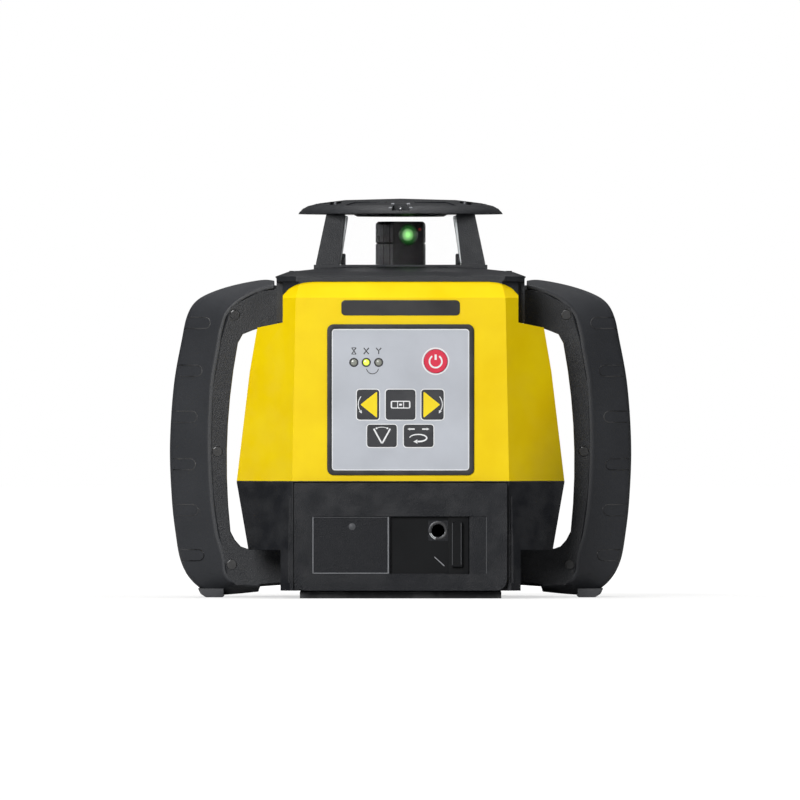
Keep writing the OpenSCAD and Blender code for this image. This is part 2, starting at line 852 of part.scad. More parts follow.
module chassis() {
    color(metal)
        difference() {
            union() {
                block([-leg_x - 4, -leg_y - 5, chassis_z], [leg_x + 4, leg_y + 5, chassis_top]);
                for (side = [-1, 1]) scale_x(side) {
                    block([column_in, -column_half, chassis_top - eps],
                          [column_out, column_half, pivot_z - 0.01]);
                    translate([column_in, 0, pivot_z]) rotate([0, 90, 0])
                        cylinder(r = column_half + 0.5, h = column_out - column_in);
                    cylinder_at(leg_x, leg_y, 4, low_z + wall, chassis_z + eps);
                    cylinder_at(leg_x, -leg_y, 4, bay_high + bay_t, chassis_z + eps);
                }
                block([motor_x_start + 2, fork_reach - motor_half, chassis_top - eps],
                      [motor_x_start + motor_l, fork_reach + motor_half, fork_x_z - motor_half]);
                block([-fork_reach - motor_half, -motor_x_start - motor_l, chassis_top - eps],
                      [-fork_reach + motor_half, -motor_x_start - 2, fork_y_z - motor_half]);
            }
            bar_x(0, pivot_z, gimbal_pin_r + run, -column_out - 1, column_out + 1);
            cylinder_at(0, 0, 12, chassis_z - 1, chassis_top + 1);
        }
}

module gimbal_ring() {
    color(metal)
        difference() {
            cylinder_at(0, 0, ring_out, pivot_z - 5, pivot_z + 5);
            cylinder_at(0, 0, ring_in, pivot_z - 6, pivot_z + 6);
            bar_x(0, pivot_z, gimbal_pin_r + 0.02, -ring_out - 1, ring_out + 1);
            bar_y(0, pivot_z, gimbal_pin_r + 0.02, -ring_out - 1, ring_out + 1);
        }
}

module gimbal_pins() {
    color(metal)
        for (side = [-1, 1]) {
            scale_x(side) bar_x(0, pivot_z, gimbal_pin_r, ring_in + 0.4, column_out - 0.4);
            scale_y(side) bar_y(0, pivot_z, gimbal_pin_r, bearing_r + 4, ring_out - 0.4);
        }
}

head_r = barrel_r + 2;
head_low = 126;
head_high = pivot_z + 7;
tube_wall = 3;
lens_r = barrel_r - tube_wall - 0.02;
bearing_z = [head_low + 1, head_high - 2 - bearing_h];
module laser_barrel() {
    color(metal)
        difference() {
            union() {
                cylinder_at(0, 0, barrel_r, barrel_bottom, head_low + 1);
                cylinder_at(0, 0, head_r, head_low, head_high);
                cylinder_at(0, 0, drive_pin_r, fork_y_z - 4.5, barrel_bottom + 1);
            }
            cylinder_at(0, 0, barrel_r - tube_wall, barrel_bottom + tube_wall, head_low - 2);
            cylinder_at(0, 0, bearing_r - 1.5, head_low - 3, head_high + 1);
            cylinder_at(0, 0, bearing_r, head_low - 3, bearing_z[0] + bearing_h);
            cylinder_at(0, 0, bearing_r, bearing_z[1], head_high + 1);
            bar_y(0, pivot_z, gimbal_pin_r + run, bearing_r + 3.5, head_r + 1);
            scale_y(-1) bar_y(0, pivot_z, gimbal_pin_r + run, bearing_r + 3.5, head_r + 1);
        }
}

module spindle_bearings() {
    color(metal)
        for (z = bearing_z) difference() {
            cylinder_at(0, 0, bearing_r - 0.02, z, z + bearing_h);
            cylinder_at(0, 0, spindle_r + run, z - 1, z + bearing_h + 1);
        }
}

module laser_diode() {
    color(brass) {
        cylinder_at(0, 0, lens_r, barrel_bottom + tube_wall, barrel_bottom + tube_wall + 2);
        cylinder_at(0, 0, 5.5, barrel_bottom + tube_wall + 1, barrel_bottom + tube_wall + 11);
    }
}

module collimator_lens() {
    color([0.7, 0.85, 0.8, 0.5])
        rotate_extrude()
            polygon([[0, head_low - 8.6], [lens_r, head_low - 7.6],
                     [lens_r, head_low - 3.4], [5, head_low - 2.4], [0, head_low - 2.2]]);
}

module tilt_sensor() {
    color(black)
        difference() {
            block([-10, -barrel_r - 8, barrel_bottom + 4], [10, -barrel_r + 3, barrel_bottom + 16]);
            cylinder_at(0, 0, barrel_r + 0.02, barrel_bottom, head_low);
        }
}

// Belt drive beside the spindle, carried by the barrel.
motor_r = 9;
motor_y = ring_out + motor_r + 5;
motor_h = 26;
bracket_t = 2;
bracket_top = head_high + bracket_t;
pulley_z = bracket_top + 0.8;
pulley_h = 5.4;
belt_t = 1;
belt_gap = 0.12;

module motor_bracket() {
    color(metal)
        difference() {
            union() {
                cylinder_at(0, 0, head_r, head_high, bracket_top);
                block([-10, 0, head_high], [10, motor_y, bracket_top]);
                cylinder_at(0, motor_y, 10, head_high, bracket_top);
            }
            cylinder_at(0, 0, bearing_r - 1, head_high - 1, bracket_top + 1);
            cylinder_at(0, motor_y, 3, head_high - 1, bracket_top + 1);
        }
}

module drive_motor() {
    color(metal)
        difference() {
            cylinder_at(0, motor_y, motor_r, head_high - motor_h, head_high);
            cylinder_at(0, motor_y, 1.5 + run, head_high - 12, head_high + 1);
        }
}

module motor_pulley() {
    color(brass) {
        cylinder_at(0, motor_y, pulley_r, pulley_z, pulley_z + pulley_h);
        cylinder_at(0, motor_y, 1.5, head_high - 11.5, pulley_z + 1);
    }
}

// Outline of a loop round two circles at distance motor_y.
module belt_loop(big, small) {
    lean = asin((big - small) / motor_y);
    circle(big);
    translate([0, motor_y]) circle(small);
    polygon([
        [big * cos(lean), big * sin(lean)], [small * cos(lean), motor_y + small * sin(lean)],
        [-small * cos(lean), motor_y + small * sin(lean)], [-big * cos(lean), big * sin(lean)]
    ]);
}

module drive_belt() {
    color(black)
        translate([0, 0, pulley_z + 0.5]) linear_extrude(pulley_h - 1)
            difference() {
                belt_loop(driven_r + belt_gap + belt_t, pulley_r + belt_gap + belt_t);
                belt_loop(driven_r + belt_gap, pulley_r + belt_gap);
            }
}

prism_a = 5.6;
beam_z = 188.2;
prism_z = beam_z - prism_a / 2;
cap_t = 1.5;
flat_y = rotor_r * 0.752;
rotor_seam_z = 183.5;
spindle_top = rotor_bottom + 3.4;

module spindle() {
    color(metal)
        difference() {
            cylinder_at(0, 0, spindle_r, head_low - 1, spindle_top);
            cylinder_at(0, 0, spindle_bore, head_low - 2, spindle_top + 1);
        }
}

module driven_pulley() {
    color(brass)
        difference() {
            cylinder_at(0, 0, driven_r, pulley_z, pulley_z + pulley_h);
            cylinder_at(0, 0, spindle_r + 0.02, pulley_z - 1, pulley_z + pulley_h + 1);
        }
}

module encoder_disc() {
    color(grey)
        difference() {
            cylinder_at(0, 0, driven_r + 2, pulley_z + pulley_h, pulley_z + pulley_h + 0.8);
            cylinder_at(0, 0, spindle_r + 0.02, pulley_z, pulley_z + pulley_h + 2);
        }
}

// Everything in the rotor is drawn facing the front and turned to where the beam leaves.
module in_front_of(y) {
    translate([-hat_r, -hat_r, 0]) cube([2 * hat_r, hat_r - y, 2 * hat_top]);
}

module rotor_head() {
    color(black)
        rotate(rotor_aim) difference() {
            union() {
                difference() {
                    cylinder_at(0, 0, rotor_r, rotor_bottom, rotor_top - cap_t);
                    difference() {
                        cylinder_at(0, 0, rotor_r - 2.5, spindle_top + 1, rotor_top);
                        in_front_of(flat_y - 1.5);
                    }
                }
                cylinder_at(0, 0, 7, spindle_top, prism_z);
            }
            in_front_of(flat_y);
            cylinder_at(0, 0, spindle_bore, rotor_bottom - 1, rotor_top);
            cylinder_at(0, 0, spindle_r + 0.02, rotor_bottom - 1, spindle_top);
            bar_y(0, beam_z, beam_r, -rotor_r, 0);
            translate([0, 0, rotor_seam_z]) difference() {
                cylinder(r = rotor_r + 1, h = 0.6);
                cylinder(r = rotor_r - 0.5, h = 0.6);
            }
        }
}

module rotor_cap() {
    color(black)
        rotate(rotor_aim) difference() {
            rotate_extrude() polygon([
                [0, rotor_top - cap_t], [rotor_r, rotor_top - cap_t], [rotor_r, rotor_top - 1.2],
                [rotor_r - 1.2, rotor_top], [0, rotor_top]
            ]);
            in_front_of(flat_y);
        }
}

module penta_prism() {
    color([0.75, 0.9, 0.82, 0.5])
        rotate(rotor_aim) translate([-4, 0, prism_z]) rotate([90, 0, 90]) linear_extrude(8)
            polygon([
                [-prism_a / 2, 0], [prism_a / 2, 0], [prism_a * 0.914, prism_a],
                [prism_a / 2, prism_a * 1.414], [-prism_a / 2, prism_a]
            ]);
}

module beam_window() {
    color([0.5, 0.95, 0.55, 0.6])
        rotate(rotor_aim) bar_y(0, beam_z, beam_r - 0.02, -flat_y + 0.3, -flat_y + 1.5);
}

// Levelling drives: each motor pushes a fork along its own axis.
module tilt_motor_x() {
    color(metal)
        difference() {
            block([motor_x_start, fork_reach - motor_half, fork_x_z - motor_half],
                  [motor_x_start + motor_l, fork_reach + motor_half, fork_x_z + motor_half]);
            bar_x(fork_reach, fork_x_z, 2 + run, motor_x_start - 1, motor_x_start + motor_l - 2);
        }
}

module tilt_motor_y() {
    color(metal)
        difference() {
            block([-fork_reach - motor_half, -motor_x_start - motor_l, fork_y_z - motor_half],
                  [-fork_reach + motor_half, -motor_x_start, fork_y_z + motor_half]);
            bar_y(-fork_reach, fork_y_z, 2 + run, -motor_x_start - motor_l + 2, -motor_x_start + 1);
        }
}

fork_t = 3;
fork_slot = drive_pin_r + 0.35;
fork_span = fork_y_arm * tan(tilt_max) + drive_pin_r + 0.8;
module fork_plate(reach) {
    linear_extrude(fork_t, center = true) difference() {
        union() {
            square([2 * fork_slot + 6, 2 * fork_span + 5], center = true);
            translate([-fork_slot - 3, 0]) square([2 * fork_slot + 6, reach + 4]);
        }
        square([2 * fork_slot, 2 * fork_span], center = true);
    }
}

module tilt_fork_x() {
    color(brass) {
        translate([0, 0, fork_x_z]) fork_plate(fork_reach);
        bar_x(fork_reach, fork_x_z, 2, 0, motor_x_start + 8);
    }
}

module tilt_fork_y() {
    color(brass) {
        translate([0, 0, fork_y_z]) rotate(90) fork_plate(fork_reach);
        bar_y(-fork_reach, fork_y_z, 2, -motor_x_start - 8, 0);
    }
}
// Battery pack: front plate with the lock, and a case of cells behind it.
plate_low = low_z + 0.1;
plate_high = seam_z - 0.4;
lock_low = 12.6;
lock_high = 42.4;
lock_left = -45.6;
lock_right = 44.6;
well_left = -5.4;
well_right = 35.6;
shallow = 0.7;
well_floor = pack_y + 3.8;
slide_t = 1;
slide_lip = 1;
jack_at = [19.4, 35];
jack_r = 4.9;
bar_left = 26.5;
bar_right = 31.8;
cell_pitch = 2 * cell_r + 0.4;
cell_front = plate_back + 2.4;
case_half = bay_half - gap;
case_low = bay_low + gap;
case_high = bay_high - gap;
case_t = 1.5;
cell_low = case_low + case_t + 0.2 + cell_r;
contact_t = 1.8;

module battery_front() {
    color(black)
        difference() {
            plate_y(pack_y, plate_back) union() {
                rounded_rect(pack_half, plate_low, plate_low + 24, 6);
                rounded_rect(pack_half, plate_low + 12, plate_high, 1);
            }
            block([lock_left, pack_y - 1, lock_low], [lock_right, pack_y + shallow, lock_high]);
            block([well_left, pack_y - 1, lock_low], [well_right, well_floor, lock_high]);
            block([well_left, well_floor - slide_t - 0.1, lock_low - slide_lip - 0.1],
                  [well_right, well_floor, lock_high + slide_lip + 0.1]);
            bar_y(jack_at[0], jack_at[1], jack_r + 0.02, pack_y, plate_back + 1);
        }
}

module battery_case() {
    color(black)
        difference() {
            block([-case_half, plate_back, case_low], [case_half, plate_back + pack_d, case_high]);
            block([-case_half + case_t, plate_back - 1, case_low + case_t],
                  [case_half - case_t, plate_back + pack_d - 1.2, case_high - case_t]);
        }
}

module battery_cells() {
    color([0.2, 0.35, 0.6])
        for (i = [-1.5 : 1 : 1.5], z = [0, 1])
            bar_y(i * cell_pitch, cell_low + z * cell_pitch, cell_r, cell_front, cell_front + cell_l);
}

module battery_contacts() {
    color(brass)
        for (x = [-18, 0, 18])
            block([x - 2.5, bay_back - contact_t, 28], [x + 2.5, bay_back, 40]);
}

module charge_jack() {
    color(metal)
        difference() {
            bar_y(jack_at[0], jack_at[1], jack_r, well_floor, well_floor + 4.2);
            difference() {
                bar_y(jack_at[0], jack_at[1], 3.4, well_floor - 1, well_floor + 3.4);
                bar_y(jack_at[0], jack_at[1], 0.9, well_floor + 0.6, well_floor + 4);
            }
        }
}

module lock_slider() {
    color(black) {
        block([bar_left, pack_y - 0.4, lock_low + 3.7], [bar_right, well_floor - 0.05, lock_high - 3]);
        block([bar_left - 2, well_floor - slide_t, lock_low - slide_lip],
              [well_right - 0.4, well_floor - 0.05, lock_high + slide_lip]);
    }
}

upper_housing();
lower_housing();
top_deck();
housing_screws();
base_plate();
tripod_bush();
seam_seal();
battery_bay();
head_frame();
window_panes();
hat();
hat_screws();
sight_pins();
left_handle();
right_handle();
left_grip();
right_grip();
handle_screws();
handle_feet();
badge_plate();
keypad_bezel();
keypad_panel();
power_key();
left_key();
level_key();
right_key();
slope_key();
scan_key();
indicator_lights();
keypad_board();
main_board();
chassis();
gimbal_ring();
gimbal_pins();
laser_barrel();
laser_diode();
collimator_lens();
spindle_bearings();
tilt_sensor();
drive_motor();
motor_bracket();
motor_pulley();
drive_belt();
spindle();
driven_pulley();
encoder_disc();
rotor_head();
rotor_cap();
penta_prism();
beam_window();
tilt_motor_x();
tilt_motor_y();
tilt_fork_x();
tilt_fork_y();
battery_front();
battery_case();
battery_cells();
battery_contacts();
charge_jack();
lock_slider();
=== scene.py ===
"""Looks of a rotating laser level: finishes, handles, keypad symbols, lights, stage and camera."""

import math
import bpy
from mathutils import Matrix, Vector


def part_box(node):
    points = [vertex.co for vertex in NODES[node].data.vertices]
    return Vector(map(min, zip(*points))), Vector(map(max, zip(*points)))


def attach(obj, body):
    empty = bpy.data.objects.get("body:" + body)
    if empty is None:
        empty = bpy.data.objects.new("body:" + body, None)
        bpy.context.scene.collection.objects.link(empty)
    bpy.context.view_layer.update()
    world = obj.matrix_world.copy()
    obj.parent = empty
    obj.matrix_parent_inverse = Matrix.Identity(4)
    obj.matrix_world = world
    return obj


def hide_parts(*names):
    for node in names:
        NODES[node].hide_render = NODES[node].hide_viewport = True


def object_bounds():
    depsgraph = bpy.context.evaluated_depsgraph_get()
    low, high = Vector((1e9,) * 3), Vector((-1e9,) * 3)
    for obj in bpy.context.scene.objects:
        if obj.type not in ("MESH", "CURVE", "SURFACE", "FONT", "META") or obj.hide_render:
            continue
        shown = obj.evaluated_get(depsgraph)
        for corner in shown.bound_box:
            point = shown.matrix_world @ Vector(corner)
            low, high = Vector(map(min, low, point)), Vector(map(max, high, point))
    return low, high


bl_info = {
    "name": "Rotating laser level",
    "version": (1, 0, 0),
    "blender": (4, 5, 0),
    "location": "View3D > Sidebar > Laser level",
    "description": "Dresses the construction model of a rotating laser level with its finishes and details",
    "category": "Object",
}

import bmesh
import bpy
from bpy.props import FloatProperty, FloatVectorProperty, PointerProperty
from mathutils import Matrix, Vector
from mathutils.bvhtree import BVHTree

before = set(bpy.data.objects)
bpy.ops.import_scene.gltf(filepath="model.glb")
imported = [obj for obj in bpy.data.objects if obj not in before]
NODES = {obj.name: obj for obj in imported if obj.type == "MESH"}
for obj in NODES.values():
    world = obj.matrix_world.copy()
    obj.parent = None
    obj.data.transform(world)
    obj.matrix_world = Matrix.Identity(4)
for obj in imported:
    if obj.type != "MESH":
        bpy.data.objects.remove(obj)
CAD_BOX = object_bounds()
MM = 0.001
PI = math.pi
TIP = 0.0001 * MM  # radius that closes a turned piece at its axis
SEAT = 0.02 * MM  # how deep a thin piece is set into the face that it lies on
BOX_FACES = [(0, 3, 2, 1), (4, 5, 6, 7), (0, 1, 5, 4), (1, 2, 6, 5), (2, 3, 7, 6), (3, 0, 4, 7)]


# ---------------------------------------------------------------- settings

def colour(name, description, rgb):
    """A colour property in scene-linear values."""
    return FloatVectorProperty(name=name, description=description, default=rgb, subtype="COLOR",
                               size=3, min=0.0, max=1.0)


def length(name, description, mm, low=0.0, high=50.0):
    """A length property with its default in millimetres."""
    return FloatProperty(name=name, description=description, default=mm * MM, min=low * MM, max=high * MM,
                         unit="LENGTH", precision=5)


def light_power(name, description, watts):
    """The power of a light."""
    return FloatProperty(name=name, description=description, default=watts, min=0.0, unit="POWER")


class LevelColours(bpy.types.PropertyGroup):
    """Base colours of the mouldings, keys and metal parts."""
    shell_yellow: colour("Shell yellow", "Upper housing", (1.0, 0.69, 0.0))
    shell_black: colour("Shell black", "Deck, head frame, hat and handles", (0.020, 0.0215, 0.025))
    pack_black: colour("Pack black", "Lower housing and battery pack", (0.0115, 0.0125, 0.0155))
    rubber: colour("Grip rubber", "Rubber over the handles and feet", (0.038, 0.040, 0.045))
    bezel: colour("Bezel", "Frame round the keypad and the name plate", (0.020, 0.020, 0.022))
    panel: colour("Keypad panel", "Grey membrane under the keys", (0.51, 0.535, 0.585))
    key: colour("Keys", "Dark rubber keys", (0.030, 0.031, 0.036))
    power: colour("Power key", "Red round key", (0.72, 0.018, 0.06))
    symbol: colour("Symbols", "White print on the keys", (0.86, 0.87, 0.88))
    arrow: colour("Arrows", "Yellow arrows on the two side keys", (1.0, 0.74, 0.0))
    alloy: colour("Cast alloy", "Chassis, gimbal ring, barrel and motor bracket", (0.52, 0.53, 0.55))
    steel: colour("Steel", "Shafts, bearings, pins and motors", (0.46, 0.46, 0.48))
    brass: colour("Brass", "Tripod bush, pulleys, forks and contacts", (0.68, 0.50, 0.22))
    board: colour("Circuit board", "Solder resist on the boards", (0.015, 0.14, 0.05))
    cell: colour("Cell wrap", "Sleeve round each battery cell", (0.05, 0.14, 0.42))
    beam: colour("Beam", "Light of the laser", (0.36, 1.0, 0.28))
    floor: colour("Floor", "Floor under the level", (0.42, 0.42, 0.42))


class LevelSizes(bpy.types.PropertyGroup):
    """Radii and depths of the small details."""
    shell_edge: length("Shell edge", "Rounding of the yellow housing's edges", 1.3)
    black_edge: length("Black edge", "Rounding of the black mouldings' edges", 0.8)
    small_edge: length("Small edge", "Rounding of small pieces", 0.25)
    print_height: length("Print height", "How far printed symbols stand proud", 0.06)
    grain: length("Grain", "Size of the moulded grain", 0.42)


class LevelStage(bpy.types.PropertyGroup):
    """Light and camera."""
    camera_distance: length("Camera distance", "From the front of the level", 12000, 500, 30000)
    view_width: length("View width", "Width in view at the front face", 412.7, 100, 2000)
    aim_height: length("Aim height", "Height of the camera and of its aim", 102.4, 0, 500)
    key_power: light_power("Key light", "Power of the main light", 60.0)
    fill_power: light_power("Fill light", "Power of the fill light", 0.5)
    top_power: light_power("Top light", "Power of the light overhead", 33.0)
    world_strength: FloatProperty(name="Surroundings", description="Brightness of the surroundings",
                                  default=0.12, min=0.0)


def settings():
    """The three groups of settings on the scene."""
    scene = bpy.context.scene
    return scene.level_colours, scene.level_sizes, scene.level_stage


# ---------------------------------------------------------------- shader helpers

def add(tree, kind, inputs=None, **props):
    """Adds a node, sets its properties, and links or sets its inputs."""
    made = tree.nodes.new(kind)
    for name, value in props.items():
        setattr(made, name, value)
    for name, value in (inputs or {}).items():
        put(tree, made.inputs[name], value)
    return made


def put(tree, socket, value):
    """Links a socket, or sets its value."""
    if isinstance(value, bpy.types.NodeSocket):
        tree.links.new(value, socket)
    else:
        socket.default_value = value


def maths(tree, operation, a, b=0.0):
    """Output of a Math node."""
    made = add(tree, "ShaderNodeMath", operation=operation)
    put(tree, made.inputs[0], a)
    put(tree, made.inputs[1], b)
    return made.outputs[0]


def remap(tree, value, low, high, to_low, to_high):
    """Output of a Map Range node."""
    made = add(tree, "ShaderNodeMapRange", {"Value": value, "From Min": low, "From Max": high,
                                            "To Min": to_low, "To Max": to_high})
    return made.outputs["Result"]


def blend_colour(tree, factor, a, b):
    """Output of a Mix node on colours."""
    made = add(tree, "ShaderNodeMix", data_type="RGBA")
    put(tree, made.inputs[0], factor)
    put(tree, made.inputs[6], a)
    put(tree, made.inputs[7], b)
    return made.outputs[2]


def rgba(rgb, gain=1.0):
    """A colour with alpha, scaled by gain."""
    return [min(1.0, channel * gain) for channel in rgb] + [1.0]


def effect_group(name, inputs, outputs):
    """An empty shader node group with named sockets, and its two end nodes."""
    group = bpy.data.node_groups.new(name, "ShaderNodeTree")
    for label, value in inputs:
        socket = group.interface.new_socket(label, in_out="INPUT", socket_type="NodeSocketFloat")
        socket.default_value = value
    for label in outputs:
        group.interface.new_socket(label, in_out="OUTPUT", socket_type="NodeSocketFloat")
    start = group.nodes.new("NodeGroupInput")
    end = group.nodes.new("NodeGroupOutput")
    return group, start.outputs, end.inputs


def make_grain():
    """Moulded grain: fine pits and a slow change of gloss. Scale is in grains per metre."""
    group, given, out = effect_group("Moulded grain", [("Scale", 2400.0), ("Pits", 0.5)],
                                     ["Height", "Gloss"])
    place = add(group, "ShaderNodeTexCoord").outputs["Object"]
    cells = add(group, "ShaderNodeTexVoronoi", {"Vector": place, "Scale": given["Scale"]},
                feature="SMOOTH_F1")
    fine = add(group, "ShaderNodeTexNoise", {"Vector": place, "Scale": given["Scale"], "Detail": 2.0})
    slow = add(group, "ShaderNodeTexNoise", {"Vector": place, "Scale": 38.0, "Detail": 4.0})
    pits = maths(group, "MULTIPLY", cells.outputs["Distance"], given["Pits"])
    group.links.new(maths(group, "ADD", pits, fine.outputs["Fac"]), out["Height"])
    group.links.new(slow.outputs["Fac"], out["Gloss"])
    return group


def make_wear():
    """Edge wear: a broken-up mask along outward edges."""
    group, given, out = effect_group("Edge wear", [("Reach", 0.06), ("Breakup", 90.0)], ["Mask"])
    place = add(group, "ShaderNodeTexCoord").outputs["Object"]
    point = add(group, "ShaderNodeNewGeometry").outputs["Pointiness"]
    high = maths(group, "ADD", given["Reach"], 0.5)
    edge = add(group, "ShaderNodeMapRange", {"Value": point, "From Min": 0.51, "From Max": high})
    noise = add(group, "ShaderNodeTexNoise", {"Vector": place, "Scale": given["Breakup"], "Detail": 5.0})
    patch = remap(group, noise.outputs["Fac"], 0.38, 0.62, 0.0, 1.0)
    group.links.new(maths(group, "MULTIPLY", edge.outputs["Result"], patch), out["Mask"])
    return group


def make_dust():
    """Dust: more on faces that look up, in soft patches."""
    group, given, out = effect_group("Settled dust", [("Amount", 0.12)], ["Mask"])
    place = add(group, "ShaderNodeTexCoord").outputs["Object"]
    normal = add(group, "ShaderNodeNewGeometry").outputs["Normal"]
    up = add(group, "ShaderNodeSeparateXYZ", {"Vector": normal})
    lie = remap(group, up.outputs["Z"], 0.1, 1.0, 0.15, 1.0)
    noise = add(group, "ShaderNodeTexNoise", {"Vector": place, "Scale": 55.0, "Detail": 6.0})
    patch = remap(group, noise.outputs["Fac"], 0.35, 0.75, 0.0, 1.0)
    cover = maths(group, "MULTIPLY", lie, patch)
    group.links.new(maths(group, "MULTIPLY", cover, given["Amount"]), out["Mask"])
    return group


def make_brush():
    """Machined metal: fine turned lines along one axis of the piece."""
    group, given, out = effect_group("Machined lines", [("Scale", 900.0)], ["Height", "Gloss"])
    place = add(group, "ShaderNodeTexCoord").outputs["Object"]
    stretch = add(group, "ShaderNodeMapping", {"Vector": place, "Scale": (0.06, 0.06, 1.0)})
    lines = add(group, "ShaderNodeTexNoise", {"Vector": stretch.outputs["Vector"], "Scale": given["Scale"],
                                              "Detail": 3.0})
    slow = add(group, "ShaderNodeTexNoise", {"Vector": place, "Scale": 70.0, "Detail": 3.0})
    group.links.new(lines.outputs["Fac"], out["Height"])
    group.links.new(slow.outputs["Fac"], out["Gloss"])
    return group


EFFECTS = {}
FINISHES = {}
DUST_COLOUR = (0.42, 0.40, 0.37)
BLACK = (0.0, 0.0, 0.0, 1.0)
WHITE = (1.0, 1.0, 1.0, 1.0)


def build_effects():
    """Builds each shared effect once."""
    EFFECTS.update(grain=make_grain(), wear=make_wear(), dust=make_dust(), brush=make_brush())


def use(tree, effect, inputs=None):
    """Places a shared effect in a material."""
    made = tree.nodes.new("ShaderNodeGroup")
    made.node_tree = EFFECTS[effect]
    for name, value in (inputs or {}).items():
        put(tree, made.inputs[name], value)
    return made.outputs


def new_material(name):
    """An empty material with its shader."""
    material = bpy.data.materials.new(name)
    material.use_nodes = True
    tree = material.node_tree
    tree.nodes.clear()
    shader = add(tree, "ShaderNodeBsdfPrincipled")
    end = add(tree, "ShaderNodeOutputMaterial")
    tree.links.new(shader.outputs["BSDF"], end.inputs["Surface"])
    FINISHES[name] = material
    return material, tree, shader


def moulding(name, rgb, rough, grain, pits, bump, wear, dust, coat=0.0, shine=0.3):
    """Moulded plastic or rubber: grain, lighter worn edges, and a little dust."""
    material, tree, shader = new_material(name)
    texture = use(tree, "grain", {"Scale": grain, "Pits": pits})
    edges = use(tree, "wear")["Mask"]
    worn = maths(tree, "MULTIPLY", edges, wear)
    patch = remap(tree, texture["Gloss"], 0.3, 0.7, 0.0, 1.0)
    tint = blend_colour(tree, patch, rgba(rgb, 0.93), rgba(rgb, 1.06))
    tint = blend_colour(tree, worn, tint, rgba([0.12 + 0.8 * channel for channel in rgb]))
    tint = blend_colour(tree, use(tree, "dust", {"Amount": dust})["Mask"], tint, rgba(DUST_COLOUR))
    tree.links.new(tint, shader.inputs["Base Color"])
    gloss = remap(tree, texture["Gloss"], 0.3, 0.7, rough - 0.06, rough + 0.06)
    tree.links.new(gloss, shader.inputs["Roughness"])
    relief = add(tree, "ShaderNodeBump", {"Height": texture["Height"], "Strength": bump, "Distance": 0.0002})
    tree.links.new(relief.outputs["Normal"], shader.inputs["Normal"])
    shader.inputs["Specular IOR Level"].default_value = shine
    shader.inputs["Coat Weight"].default_value = coat
    shader.inputs["Coat Roughness"].default_value = 0.2
    return material


def metal(name, rgb, rough, lines=900.0, bump=0.08):
    """Machined or cast metal."""
    material, tree, shader = new_material(name)
    texture = use(tree, "brush", {"Scale": lines})
    edges = use(tree, "wear")["Mask"]
    tint = blend_colour(tree, texture["Gloss"], rgba(rgb, 0.86), rgba(rgb, 1.08))
    tint = blend_colour(tree, maths(tree, "MULTIPLY", edges, 0.4), tint, rgba(rgb, 1.5))
    tree.links.new(tint, shader.inputs["Base Color"])
    gloss = remap(tree, texture["Gloss"], 0.3, 0.7, rough - 0.07, rough + 0.07)
    tree.links.new(gloss, shader.inputs["Roughness"])
    relief = add(tree, "ShaderNodeBump", {"Height": texture["Height"], "Strength": bump, "Distance": 0.0001})
    tree.links.new(relief.outputs["Normal"], shader.inputs["Normal"])
    shader.inputs["Metallic"].default_value = 1.0
    return material


def clear(name, rgb, ior, rough=0.02):
    """Clear glass or a clear plastic lens, with faint wipe marks."""
    material, tree, shader = new_material(name)
    texture = use(tree, "grain", {"Scale": 300.0, "Pits": 0.1})
    gloss = remap(tree, texture["Gloss"], 0.35, 0.75, rough, rough + 0.05)
    tree.links.new(gloss, shader.inputs["Roughness"])
    shader.inputs["Base Color"].default_value = rgba(rgb)
    shader.inputs["Transmission Weight"].default_value = 1.0
    shader.inputs["IOR"].default_value = ior
    return material


def lamp(name, rgb, glow, strength, centre, radius):
    """A light seen through a lens, or a painted glow on a face round one: brightest at its centre."""
    material, tree, shader = new_material(name)
    place = add(tree, "ShaderNodeTexCoord").outputs["Object"]
    away = add(tree, "ShaderNodeVectorMath", {0: place, 1: centre}, operation="DISTANCE").outputs["Value"]
    fall = remap(tree, away, 0.0, radius, 1.0, 0.0)
    texture = use(tree, "grain", {"Scale": 900.0, "Pits": 0.4})
    light = maths(tree, "MULTIPLY", maths(tree, "POWER", fall, 1.6),
                  remap(tree, texture["Gloss"], 0.2, 0.8, 0.85, 1.15))
    tree.links.new(blend_colour(tree, light, BLACK, rgba(glow)), shader.inputs["Emission Color"])
    tree.links.new(blend_colour(tree, fall, rgba(rgb, 0.7), rgba(rgb)), shader.inputs["Base Color"])
    shader.inputs["Emission Strength"].default_value = strength
    shader.inputs["Roughness"].default_value = 0.15
    shader.inputs["Coat Weight"].default_value = 0.6
    return material


